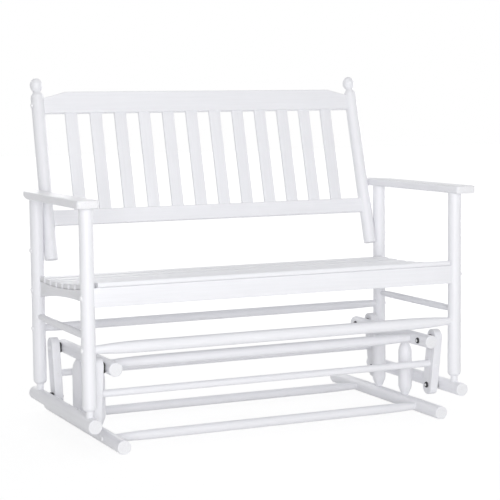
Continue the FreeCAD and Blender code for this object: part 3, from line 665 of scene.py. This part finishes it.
# Each corner moved inwards, with the way it faces
def insetOutline(outline, inset):
    moved = []
    for index, corner in enumerate(outline):
        before = (corner - outline[index - 1]).normalized()
        after = (outline[(index + 1) % len(outline)] - corner).normalized()
        outA, outB = Vector((before.y, -before.x)), Vector((after.y, -after.x))
        bisector = (outA + outB) / (1 + outA.dot(outB))
        moved.append((corner - bisector * inset, bisector.normalized()))
    return moved


# outline runs anticlockwise in the plane of axes 0 and 1, thickness runs along axis 2.
# fibre says which axis the wood's fibres follow; holes are rings in the same plane,
# and creases are heights that get a ring of points of their own
def board(outline, thickness, rim, origin, axes, fibre=0, holes=(), steps=4, creases=()):
    shape = Shape()
    curve = arc((rim, rim), (-rim, -rim), 90, 0, steps)
    half = [(rim + 0.35, 0, 0), (rim, 0, 0.5), *marked(curve[1:-1], 1), *marked(curve[-1:], 0.3)]
    spans = max(1, round(thickness / 60)) if fibre == 2 else 1
    levels = half + [(0, level, 0) for level in [*creases, *between(rim, thickness - rim, spans)]]
    levels += [(inset, thickness - level, edge) for inset, level, edge in reversed(half)]

    def spot(flat, level, masks):
        grain = [(flat.x, flat.y, level), (flat.y, flat.x, level), (level, flat.x, flat.y)][fibre]
        return shape.point(origin + axes[0] * flat.x + axes[1] * flat.y + axes[2] * level, grain, masks)

    rings = []
    for inset, level, edge in levels:
        ring = []
        for flat, out in insetOutline(outline, inset):
            cut = level in (0, thickness) if fibre == 2 else abs(out[fibre]) > 0.8
            ring.append(spot(flat, level, (int(cut), edge)))
        rings.append(ring)
    shape.skin(rings)
    holeRings = [[[spot(flat, level, (0, 0)) for flat in hole] for level in (0, thickness)]
                 for hole in holes]
    for pair in holeRings:
        shape.skin(pair)
    loops = [[flat for flat, out in insetOutline(outline, levels[0][0])], *holes]
    for which in (0, -1):
        numbers = rings[which] + [number for pair in holeRings for number in pair[which]]
        for corners in tessellate_polygon([[flat.to_3d() for flat in loop] for loop in loops]):
            shape.faces.append(tuple(numbers[corner] for corner in corners))
    return shape


railBoardSizes = {
    "round": 3.0, "crestBottom": 427.0, "crestTop": 490.2, "crestEndTop": 473.0, "crestSlope": 63.6,
    "lowerBottom": 98.0, "lowerTop": 141.5, "thickness": 20.0, "intoPost": 4.0,
}


def backBoard(node, outline, sizes):
    origin = backPlace @ Vector((0, -sizes["thickness"] / 2, 0))
    axes = (alongX, backTurn @ alongZ, backTurn @ alongY)
    placeWood(node, board(outline, sizes["thickness"], sizes["round"], origin, axes))


def backRails(sizes):
    low, high = sizes["crestBottom"], sizes["crestTop"]
    endHigh, into = sizes["crestEndTop"], sizes["intoPost"]
    end = postX(endHigh) - backSizes["postRadius"]
    reach, flat = end + into, end - sizes["crestSlope"]
    endTop = endHigh - (high - endHigh) / sizes["crestSlope"] * into
    top = [(x, high) for x in (flat, *between(flat, -flat, 16), -flat)]
    crest = flats((-reach, low), (reach, low), (reach, endTop), *top, (-reach, endTop))
    backBoard("crest_rail", crest, sizes)
    reach = postX(sizes["lowerTop"]) - backSizes["postRadius"] + into
    backBoard("lower_back_rail", oblong(-reach, sizes["lowerBottom"], reach, sizes["lowerTop"]), sizes)


backRails(railBoardSizes)

seatSizes = {
    "dishRadius": 2066.0, "dishLowY": 58.0, "dishLowZ": 406.3,
    "underRadius": 2150.0,  # the arch under the side rails
    "underY": -202.0, "underZ": 391.5, "bearerHeight": 30.0, "boardRound": 2.0, "apronDrop": 5.3,
    "apronRound": 2.2, "rearRailRound": 2.0,
}


# How far an arc has moved off its tangent
def bulge(radius, away):
    return radius - sqrt(radius ** 2 - away ** 2)


def dishZ(y):
    return seatSizes["dishLowZ"] + bulge(seatSizes["dishRadius"], y - seatSizes["dishLowY"])


def underZ(y):
    return seatSizes["underZ"] - bulge(seatSizes["underRadius"], y - seatSizes["underY"])


def bearerZ(y):
    return dishZ(y) - seatSizes["bearerHeight"]


# A board under the slats, from its section as seen along the bench
def seatBoard(node, section, rim, fibre=0):
    low, high = boxOf(node)
    placeWood(node, board(section, high.x - low.x, rim, Vector((low.x, 0, 0)), sectionAxes, fibre))


# Its top follows the seat's hollow
def dishedBoard(node, under, sizes):
    low, high = boxOf(node)
    ys = [low.y, *between(low.y, high.y, 16), high.y]
    section = flats(*[(y, under(y)) for y in ys], *[(y, dishZ(y)) for y in reversed(ys)])
    seatBoard(node, easedOutline(section, 0.8, 2, 45), sizes["boardRound"])


def crossBoard(node, under, frontTop, rearTop, rim):
    low, high = boxOf(node)
    section = flats((low.y, under), (high.y, under), (high.y, rearTop), (low.y, frontTop))
    seatBoard(node, easedOutline(section, rim), 1.0, fibre=2)


def seatFrame(sizes):
    for side in sides:
        dishedBoard(side + "_seat_side_rail", underZ, sizes)
    dishedBoard("center_bearer", bearerZ, sizes)
    low, high = boxOf("front_apron")
    under = low.z - sizes["apronDrop"]
    crossBoard("front_apron", under, dishZ(low.y), dishZ(high.y), sizes["apronRound"])
    low, high = boxOf("rear_seat_rail")
    top = dishZ((low.y + high.y) / 2)
    crossBoard("rear_seat_rail", low.z, top, top, sizes["rearRailRound"])


seatFrame(seatSizes)
print("rails and seat frame made")

armrestSizes = {
    "inner": 533.0, "outer": 594.0, "sweep": 120.0, "corner": 10.0, "rim": 4.0,
    "cutHeight": 14.0,  # the bevel that grows under the swept rear corner
    "cutSlope": 1.1, "cutLength": 92.0, "cutGrowth": 0.8,
}


def armrest(side, inner, outer, sweep, corner, rim, cutHeight, cutSlope, cutLength, cutGrowth):
    node = side + "_armrest"
    low, high = boxOf(node)
    thickness, sweepStart = high.z - low.z, high.y - sweep
    outline = arc((inner + corner, low.y + corner), (corner, corner), 180, 270, 8)
    outline += arc((outer - corner, low.y + corner), (corner, corner), 270, 360, 8)
    outline += [(outer, y) for y in between(low.y, sweepStart, 8)]
    outline += arc((inner, sweepStart), (outer - inner, sweep), 0, 90, 18)
    outline += [(inner, y) for y in between(high.y, low.y, 12)]
    axes = (Vector((sides[side], 0, 0)), alongY, alongZ)
    shape = board(easedOutline(flats(*outline), 2.0, 3, 45), thickness, rim, Vector((0, 0, low.z)), axes,
                  fibre=1, steps=5, creases=[thickness / 2])
    hub = Vector((sides[side] * inner, sweepStart, 0))
    for index, point in enumerate(shape.points):
        spot = point / mm
        level = spot.z - low.z
        if spot.y <= sweepStart or level > thickness / 2 + 0.1:
            continue
        cut = cutHeight * min((spot.y - sweepStart) / cutLength, 1) ** cutGrowth
        if level > thickness / 2 - 0.1:  # the crease follows the bevel's upper edge
            spot.z = low.z + max(cut, rim + 1)
            level = spot.z - low.z
        inward = Vector((hub.x - spot.x, hub.y - spot.y, 0)).normalized()
        shape.points[index] = (spot + inward * max(cut - level, 0) * cutSlope) * mm
    placeWood(node, shape)


for side in sides:
    armrest(side, **armrestSizes)
print("arm rests shaped")

armSizes = {
    "width": 46.0, "abovePivot": 30.5, "belowPivot": 28.5, "round": 2.0, "topZ": 214.0,
    "bottomZ": 77.0, "frontTopY": -224.0, "frontBottomY": -202.0, "rearTopY": 152.0,
    "rearBottomY": 130.0, "eye": 7.1, "openEye": 8.1,
}


def pivots(end):
    return [Vector((0, armSizes[end + level + "Y"], armSizes[level.lower() + "Z"]))
            for level in ("Top", "Bottom")]


def swingArm(side, end, sizes):
    node = side + "_" + end + "_swing_arm"
    low, high = boxOf(node)
    top, bottom = pivots(end)
    up, length, half = (top - bottom).normalized(), (top - bottom).length, sizes["width"] / 2
    outline = arc((length + sizes["abovePivot"] - half, 0), (half, half), -90, 90, 18)
    outline += arc((half - sizes["belowPivot"], 0), (half, half), 90, 270, 18)
    eyes = ((0, sizes["openEye" if end == "rear" else "eye"]), (length, sizes["eye"]))
    holes = [flats(*arc((along, 0), (radius, radius), 0, 360, 24)[:-1]) for along, radius in eyes]
    placeWood(node, board(flats(*outline), high.x - low.x, sizes["round"], bottom + alongX * low.x,
                          (up, alongX.cross(up), alongX), holes=holes))


for side in sides:
    for end in ends:
        swingArm(side, end, armSizes)
print("swing arms shaped")


# Geometry node helpers

class Builder(Graph):
    # A geometry node tree; kinds lists its named inputs, and its result gets a finish
    def __init__(self, name, **kinds):
        super().__init__(bpy.data.node_groups.new(name, "GeometryNodeTree"))
        sockets = self.tree.interface
        for kind, titles in {"Geometry": ["Geometry"], **kinds, "Material": ["Finish"]}.items():
            for title in titles:
                sockets.new_socket(title, in_out="INPUT", socket_type="NodeSocket" + kind)
        sockets.new_socket("Geometry", in_out="OUTPUT", socket_type="NodeSocketGeometry")
        self.inputs = self.node("NodeGroupInput").outputs

    def input(self, title):
        return Field(self, self.inputs[title])

    def made(self, kind, sockets=None, output=0, **settings):
        return self.field("GeometryNode" + kind, sockets, output, **settings)

    def stored(self, geometry, title, value, domain="POINT"):
        return self.made("StoreNamedAttribute", {"Geometry": geometry, "Name": title, "Value": value},
                          data_type="FLOAT_VECTOR", domain=domain)

    def named(self, title):
        return self.made("InputNamedAttribute", {"Name": title}, data_type="FLOAT_VECTOR")

    def draw(self, low, high, offset):
        sockets = {2: low, 3: high, 8: self.input("Seed") + offset}
        return self.field("FunctionNodeRandomValue", sockets, 1, data_type="FLOAT")

    # Every tree ends here, as real geometry with its finish
    def finished(self, geometry):
        solid = self.made("RealizeInstances", {"Geometry": geometry})
        solid = self.made("SetMaterial", {"Geometry": solid, "Material": self.input("Finish")})
        self.node("NodeGroupOutput", {"Geometry": solid})
        return self.tree


# Runs a tree and keeps its result as a plain mesh
def grow(tree, values, base=None):
    holder = addObject("holder", base or bpy.data.meshes.new("holder"))
    modifier = holder.modifiers.new("grow", "NODES")
    modifier.node_group = tree
    for item in tree.interface.items_tree:
        if item.in_out == "INPUT" and item.name in values:
            modifier[item.identifier] = values[item.name]
    view = bpy.context.evaluated_depsgraph_get()
    mesh = bpy.data.meshes.new_from_object(holder.evaluated_get(view), preserve_all_data_layers=True,
                                           depsgraph=view)
    bpy.data.objects.remove(holder)
    return mesh


patterns = []


# An object that only lends its mesh to a tree and goes at the end
def pattern(name, shape):
    patterns.append(bpy.data.objects.new(name, shape.mesh(name)))
    return patterns[-1]


# Turned stretchers and dowels

barSizes = {
    "cross": {"end": 10.5, "taper": 130.0, "tenon": 13.0, "swell": 0.0},
    "side": {"end": 7.5, "taper": 70.0, "tenon": 12.0, "swell": 0.0},
    "dowel": {"end": None, "taper": 20.0, "tenon": 0.0, "swell": 1.0},
    "rings": 120, "facets": 48,
}


def barTree():
    build = Builder("turnedBar", Float=["Half Span", "Radius", "End Radius", "Taper", "Tenon", "Tone"],
                    Vector=["Place", "Turn", "Shift"])
    half, radius, taper = build.input("Half Span"), build.input("Radius"), build.input("Taper")
    reach = half + build.input("Tenon")
    line = build.made("CurvePrimitiveLine", {"Start": build.vector(reach * -1, 0.0, 0.0),
                                             "End": build.vector(reach, 0.0, 0.0)})
    line = build.made("ResampleCurve", {"Curve": line, "Count": barSizes["rings"]})
    place = build.made("InputPosition")
    along = build.math("ABSOLUTE", build.split(place)[0])
    # The turner's arc again, ending at the leg
    run = build.math("MINIMUM", build.math("MAXIMUM", along - (half - taper), 0.0), taper)
    drop = build.math("MAXIMUM", radius - build.input("End Radius"), 0.00001)
    bend = (drop * drop + taper * taper) / (drop * 2)
    swelling = radius - bend + build.math("SQRT", bend * bend - run * run)
    ring = build.made("CurvePrimitiveCircle", {"Resolution": barSizes["facets"], "Radius": 1.0})
    bar = build.made("CurveToMesh", {"Curve": line, "Profile Curve": ring, "Scale": swelling,
                                     "Fill Caps": True})
    bar = build.stored(bar, "grain", build.vectors("ADD", place, build.input("Shift")))
    bar = build.stored(bar, "board", build.vector(build.input("Tone"), 0.0, 0.0))
    turn = build.field("FunctionNodeEulerToRotation", {"Euler": build.input("Turn")})
    return build.finished(build.made("Transform", {"Geometry": bar, "Translation": build.input("Place"),
                                                   "Rotation": turn}))


def turnedBar(node, tree, kind):
    low, high = boxOf(node)
    size, sizes = high - low, barSizes[kind]
    lengthwise = 0 if size.x > size.y else 1
    radius = size.z / 2 + sizes["swell"]
    shift, tone = drawWood()
    mesh = grow(tree, {
        "Half Span": (size[lengthwise] / 2 - sizes["tenon"]) * mm, "Radius": radius * mm,
        "End Radius": (sizes["end"] or radius) * mm, "Taper": sizes["taper"] * mm,
        "Tenon": sizes["tenon"] * mm, "Place": (low + high) / 2 * mm,
        "Turn": (0, 0, radians(90) * lengthwise), "Shift": shift, "Tone": tone, "Finish": paint})
    place(pieceName(node), mesh, paint, woodSlot, [node])


bars = barTree()
for node in ("front_floor_stretcher", "rear_floor_stretcher", "upper_cross_rail", "front_leg_stretcher",
             "rear_leg_stretcher"):
    turnedBar(node, bars, "cross")
for side in sides:
    turnedBar(side + "_side_stretcher", bars, "side")
for end in ends:
    turnedBar(end + "_swing_dowel", bars, "dowel")
print("stretchers turned")


# Slats, bolt caps, nuts and screws: copies on points that know which way they face

def copyTree():
    build = Builder("copiesOnPoints", Object=["Thing"], Int=["Seed"], Float=["Spin", "Depth", "Tone"])
    facing = build.named("facing")
    upright = build.field("FunctionNodeAlignRotationToVector", {"Vector": facing}, axis="Z")
    spin = build.field("FunctionNodeAxisAngleToRotation",
                       {"Axis": (0, 0, 1), "Angle": build.draw(0.0, build.input("Spin"), 7)})
    turn = build.field("FunctionNodeRotateRotation", {"Rotation": upright, "Rotate By": spin},
                       rotation_space="LOCAL")
    thing = build.made("ObjectInfo", {"Object": build.input("Thing")}, "Geometry",
                       transform_space="ORIGINAL")
    copies = build.made("InstanceOnPoints", {"Points": build.input("Geometry"), "Instance": thing,
                                             "Rotation": turn})
    # Each copy has its own stretch of wood and its own tone
    shift = build.vector(build.draw(0.0, 3.0, 1), build.draw(0.0, 3.0, 2),
                         build.draw(0.0, build.input("Depth"), 3))
    tone = build.vector(build.draw(-0.5, 0.5, 4) * build.input("Tone"), 0.0, 0.0)
    changes = {"grain": shift, "board": tone}
    for title in changes:
        copies = build.stored(copies, title + "Shift", changes[title], "INSTANCE")
    solid = build.made("RealizeInstances", {"Geometry": copies})
    for title in changes:
        changed = build.vectors("ADD", build.named(title), build.named(title + "Shift"))
        solid = build.stored(solid, title, changed)
    return build.finished(solid)


copier = copyTree()
asMetal = {"Finish": enamel, "slot": capSlot, "sharp": 34, "Spin": 2 * pi, "Depth": 0.0, "Tone": 0.0}
asWood = {"Finish": paint, "slot": woodSlot, "sharp": 40, "Spin": 0.0, "Depth": 3.0, "Tone": 1.0}


# Each spot is a place and the way it faces
def setCopies(name, shape, spots, seed, nodes=(), body=None, look=asMetal):
    points = bpy.data.meshes.new(name + "Points")
    points.from_pydata([Vector(spot) * mm for spot, facing in spots], [], [])
    facings = points.attributes.new("facing", "FLOAT_VECTOR", "POINT")
    facings.data.foreach_set("vector", [number for spot, facing in spots for number in facing])
    mesh = grow(copier, {**look, "Thing": pattern(name + "Pattern", shape), "Seed": seed}, points)
    place(name, mesh, look["Finish"], look["slot"], nodes, body, look["sharp"])


# Seat slats and back slats

slatSizes = {
    "count": 7, "pitch": 54.0, "rearRow": 127.0, "halfLength": 555.0, "width": 38.0,
    "thickness": 14.0, "round": 3.0, "underRound": 0.8, "seatGap": 0.05, "endRound": 1.5,
    "noseWidth": 60.0, "noseFrontY": -290.0, "noseRound": 6.0, "noseHalfLength": 531.0,
}
slatYs = [slatSizes["rearRow"] - slatSizes["pitch"] * index for index in range(slatSizes["count"])]
noseY = slatSizes["noseFrontY"] + slatSizes["noseWidth"] / 2


# A place above a slat's middle line on the seat, with the ways out of it and along it
def onSeat(y, width, above=0.0):
    tilt = asin((y - seatSizes["dishLowY"]) / seatSizes["dishRadius"])
    out, along = Vector((0, -sin(tilt), cos(tilt))), Vector((0, cos(tilt), sin(tilt)))
    rise = bulge(seatSizes["dishRadius"], width / 2) + slatSizes["seatGap"]
    return Vector((0, y, dishZ(y))) + out * (rise + above), out, along


# A slat with rounded upper corners; a nose rounds its front ones more
def slatShape(sizes, width, halfLength, nose=None):
    half, under, upper, thickness = width / 2, sizes["underRound"], sizes["round"], sizes["thickness"]
    section = []
    for x, y, radius, first in ((half, 0, under, -90), (half, thickness, upper, 0),
                                (-half, thickness, nose or upper, 90), (-half, 0, nose or under, 180)):
        center = (x - copysign(radius, x), y + (radius if y == 0 else -radius))
        section += arc(center, (radius, radius), first, first + 90, 5)
    return board(flats(*section), 2 * halfLength, sizes["endRound"], Vector((-halfLength, 0, 0)),
                 sectionAxes, fibre=2)


def seatSlats(sizes):
    for name, ys, width, halfLength, nose, seed in (
            ("seatSlats", slatYs, sizes["width"], sizes["halfLength"], None, 5),
            ("noseSlat", [noseY], sizes["noseWidth"], sizes["noseHalfLength"], sizes["noseRound"], 9)):
        shape = slatShape(sizes, width, halfLength, nose)
        setCopies(name, shape, [onSeat(y, width)[:2] for y in ys], seed, ["seat_slats"], look=asWood)


seatSlats(slatSizes)

backSlatSizes = {
    "count": 12, "margin": 59.0, "width": 36.0, "thickness": 10.0, "tenon": 10.0, "round": 2.0,
}


def backSlats(sizes):
    low = railBoardSizes["lowerTop"] - sizes["tenon"]
    high = railBoardSizes["crestBottom"] + sizes["tenon"]
    end = postX(railBoardSizes["crestEndTop"]) - backSizes["postRadius"]
    half, depth, count = sizes["width"] / 2, sizes["thickness"] / 2, sizes["count"]
    reach = end - sizes["margin"] - half
    section = easedOutline(oblong(-half, -depth, half, depth), sizes["round"])
    shape = board(section, high - low, 1.0, Vector(), (alongX, alongY, alongZ), fibre=2)
    spots = [(backPlace @ Vector((x, 0, low)), backTurn @ alongZ)
             for x in [-reach, *between(-reach, reach, count - 1), reach]]
    nodes = ["back_slat_%02d" % (index + 1) for index in range(count)]
    setCopies("backSlats", shape, spots, 12, nodes, look=asWood)


backSlats(backSlatSizes)
print("slats laid")


# Bolt caps, pivot nuts and small screws, turned about Z

def headShape(profile, segments=32, flatSides=None):
    return turned(profile, Vector(), alongZ, segments, metal=True, flatSides=flatSides)


capSizes = {"radius": 7.0, "seat": 1.5, "height": 3.2, "skirt": 1.1, "shoulder": 0.6}


def capHead(radius, seat, height, skirt, shoulder):
    return headShape([(-seat, 0), (-seat, radius), (skirt * 0.6, radius, 0.2), (skirt, radius - 0.25, 1),
                      *arc((skirt, 0), (height - skirt, radius - shoulder), 90, 0, 8)[1:]])


# Distance from the middle, then depth and height of each cap; on the back posts the height alone
capSpotSizes = {
    "seat": (574.0, ((-272.0, 272.0), (168.0, 272.0), (-274.0, 408.0), (168.0, 381.4), (168.0, 494.6))),
    "base": (499.0, ((-202.0, 17.5), (155.0, 17.5), (-170.0, 214.0))),
    "back": (451.0, 119.75),
}


def frameCaps(sizes):
    head = capHead(**capSizes)
    spots = {part: [(side * sizes[part][0], *spot) for side in sides.values() for spot in sizes[part][1]]
             for part in ("seat", "base")}
    spots["back"] = [backPlace @ Vector((side * (postX(height) + backSizes["postRadius"]), 0, height))
                     for side in sides.values() for height in sizes["back"]]
    nodes = {"seat": "seat_frame_bolts", "base": "base_bolts", "back": "back_bolts"}
    for seed, part in enumerate(nodes, 3):
        caps = [(spot, (copysign(1, spot[0]), 0, 0)) for spot in spots[part]]
        setCopies(part + "BoltCaps", head, caps, seed, [nodes[part]])


frameCaps(capSpotSizes)

nutSizes = {
    "radius": 8.8, "collar": 1.8, "dome": 8.2, "height": 5.4, "mouth": 4.7, "boltEnd": 4.1,
    "boltRise": 0.9, "groove": 1.0, "shank": 4.0,
}
lowHeadSizes = {
    "radius": 9.5, "height": 2.6, "socket": 3.0, "socketDepth": 1.5, "shank": 4.0, "reach": 60.0,
}


# The bolt's shank and the foot of what sits on it
def shankRows(reach, shank, radius):
    return [(-reach, 0), (-reach, shank), (0, shank), (0, radius - 0.3), (0.3, radius, 1)]


# Black domed nut with the bolt's bright end in its mouth
def nutHead(reach, radius, collar, dome, height, mouth, boltEnd, boltRise, groove, shank):
    floor = height - groove
    profile = shankRows(reach, shank, radius)
    profile += [(collar - 0.4, radius, 0.4), (collar, radius - 0.4, 1), (collar, dome)]
    profile += arc((collar, mouth), (height - collar, dome - mouth), 90, 0, 8)[1:-1]
    profile += [(height, mouth + 0.2, 1), (floor, mouth, 0, 1), (floor, boltEnd + 0.15, 0, 1),
                (height, boltEnd, 0, 0, 1)]
    profile += marked(arc((height, 0), (boltRise, boltEnd), 90, 0, 5)[1:], 0, 0, 1)
    return headShape(profile, 36)


# Low domed head with a six-sided socket
def lowHead(radius, height, socket, socketDepth, shank, reach):
    floor, lip = height - socketDepth, socket + 0.4
    profile = shankRows(reach, shank, radius)
    profile += marked(arc((0.6, lip), (height - 0.6, radius - lip), 90, 0, 6), 0.3)
    profile += [(height - 0.2, socket, 0, 1), (floor, socket, 0, 1), (floor - 0.3, 0, 0, 1)]
    return headShape(profile, 36, flatSides=6)


pivotSpotSizes = {"nutX": 462.0, "headX": 529.8, "lowNutX": 505.2, "upperReach": 6.0, "lowerReach": 55.0}


# All four upper or lower pivots at a distance x; facing is 1 outwards and -1 inwards
def pivotSpots(level, x, facing):
    return [((side * x, *pivots(end)[level].yz), (side * facing, 0, 0)) for side in sides.values()
            for end in ends]


def pivotBolts(nutX, headX, lowNutX, upperReach, lowerReach):
    nut, low = nutHead(upperReach, **nutSizes), lowHead(**lowHeadSizes)
    bolt = nutHead(lowerReach, **nutSizes)
    black = {**asMetal, "Finish": blackened, "slot": boltSlot}
    setCopies("topPivotNuts", nut, pivotSpots(0, nutX, -1), 6, ["top_pivot_bolts"], look=black)
    setCopies("topPivotHeads", low, pivotSpots(0, headX, 1), 7, ["top_pivot_bolts"])
    setCopies("bottomPivotBolts", bolt, pivotSpots(1, lowNutX, -1), 8, ["bottom_pivot_bolts"], look=black)


pivotBolts(**pivotSpotSizes)

# The radius is wider than the CAD spacers' so that the black rings paint the shade in the gap between rail
# and arm
spacerAndGapShadeSizes = {"radius": 15.0, "hole": 4.4, "seatX": 497.1, "rim": 0.8}


# Black rings between the upper rails and the swing arms: real spacers, drawn wider than the CAD ones so
# that their black also stands in for the shade in the gap between rail and arm, partly painted shade
def topSpacersWithGapShade(radius, hole, seatX, rim):
    outer = boxOf("top_pivot_spacers")[1].x
    half = [(0, hole), (0, radius - rim), (rim * 0.3, radius - rim * 0.3, 1), (rim, radius, 1)]
    ring = headShape(half + mirrored(half, outer - seatX), 40)
    setCopies("topPivotSpacers", ring, pivotSpots(0, seatX, 1), 10, ["top_pivot_spacers"],
              look={**asMetal, "Finish": nylon, "slot": "spacer_plastic"})


topSpacersWithGapShade(**spacerAndGapShadeSizes)


# Small domed screw with a recess, painted with the wood
def screwHead(radius, height, cross, depth):
    profile = [(-depth, 0), (-depth, radius * 0.5), (-0.6, radius * 0.6), (0, radius, 0.4)]
    profile += arc((0, cross), (height, radius - cross), 90, 0, 6)[1:-1]
    profile += [(height, cross + 0.1, 1), (height - 0.1, cross, 1, 1), (height - 0.9, cross * 0.8, 0, 1),
                (height - 1.1, 0, 0, 1)]
    return headShape(profile, 24, flatSides=4)


dowelScrewSizes = {
    "radius": 3.6, "height": 0.9, "cross": 1.3, "depth": 4.0,
    "below": 3.0,  # the dowel, under half-way between the pivots
    "x": 517.5, "sunk": 0.15,
}


# They pin the swing dowels, in the arms' narrow front faces
def dowelScrews(below, x, sunk, **screw):
    head = screwHead(**screw)
    for end in ends:
        top, bottom = pivots(end)
        down = (bottom - top).normalized()
        out = alongX.cross(down)
        out *= -copysign(1, out.y)
        spot = (top + bottom) / 2 + down * below + out * (armSizes["width"] / 2 - sunk)
        spots = [(spot + alongX * side * x, out) for side in sides.values()]
        setCopies(end + "DowelScrews", head, spots, 11, body=bodyOf[end + "_swing_dowel"])


dowelScrews(**dowelScrewSizes)

slatScrewSizes = {
    "radius": 2.9, "height": 0.35, "cross": 1.0, "depth": 4.0,
    "reach": 545.0,  # from the middle of the bench
    "noseReach": 521.0,
    "apart": 9.0,  # each way from a slat's centre line
    "sunk": 0.1,
}


# Two through every slat at the side rails and the middle bearer
def slatScrews(reach, noseReach, apart, sunk, **screw):
    head = screwHead(**screw)
    spots = []
    for y in [*slatYs, noseY]:
        width, far = (slatSizes["noseWidth"], noseReach) if y == noseY else (slatSizes["width"], reach)
        top, out, along = onSeat(y, width, slatSizes["thickness"] - sunk)
        spots += [(top + alongX * x + along * offset, out) for x in (-far, 0, far)
                  for offset in (-apart, apart)]
    setCopies("slatScrews", head, spots, 13, body=bodyOf["seat_slats"])


slatScrews(**slatScrewSizes)
print("bolts and screws set")

# The CAD spacers and bushes stay, with a finish
for node in ("bottom_pivot_spacers", "front_arm_bushes", "rear_arm_bushes"):
    for materialSlot in frame["nodes"][node].material_slots:
        materialSlot.material = nylon

for lent in patterns:
    bpy.data.objects.remove(lent)

print("bench dressed")
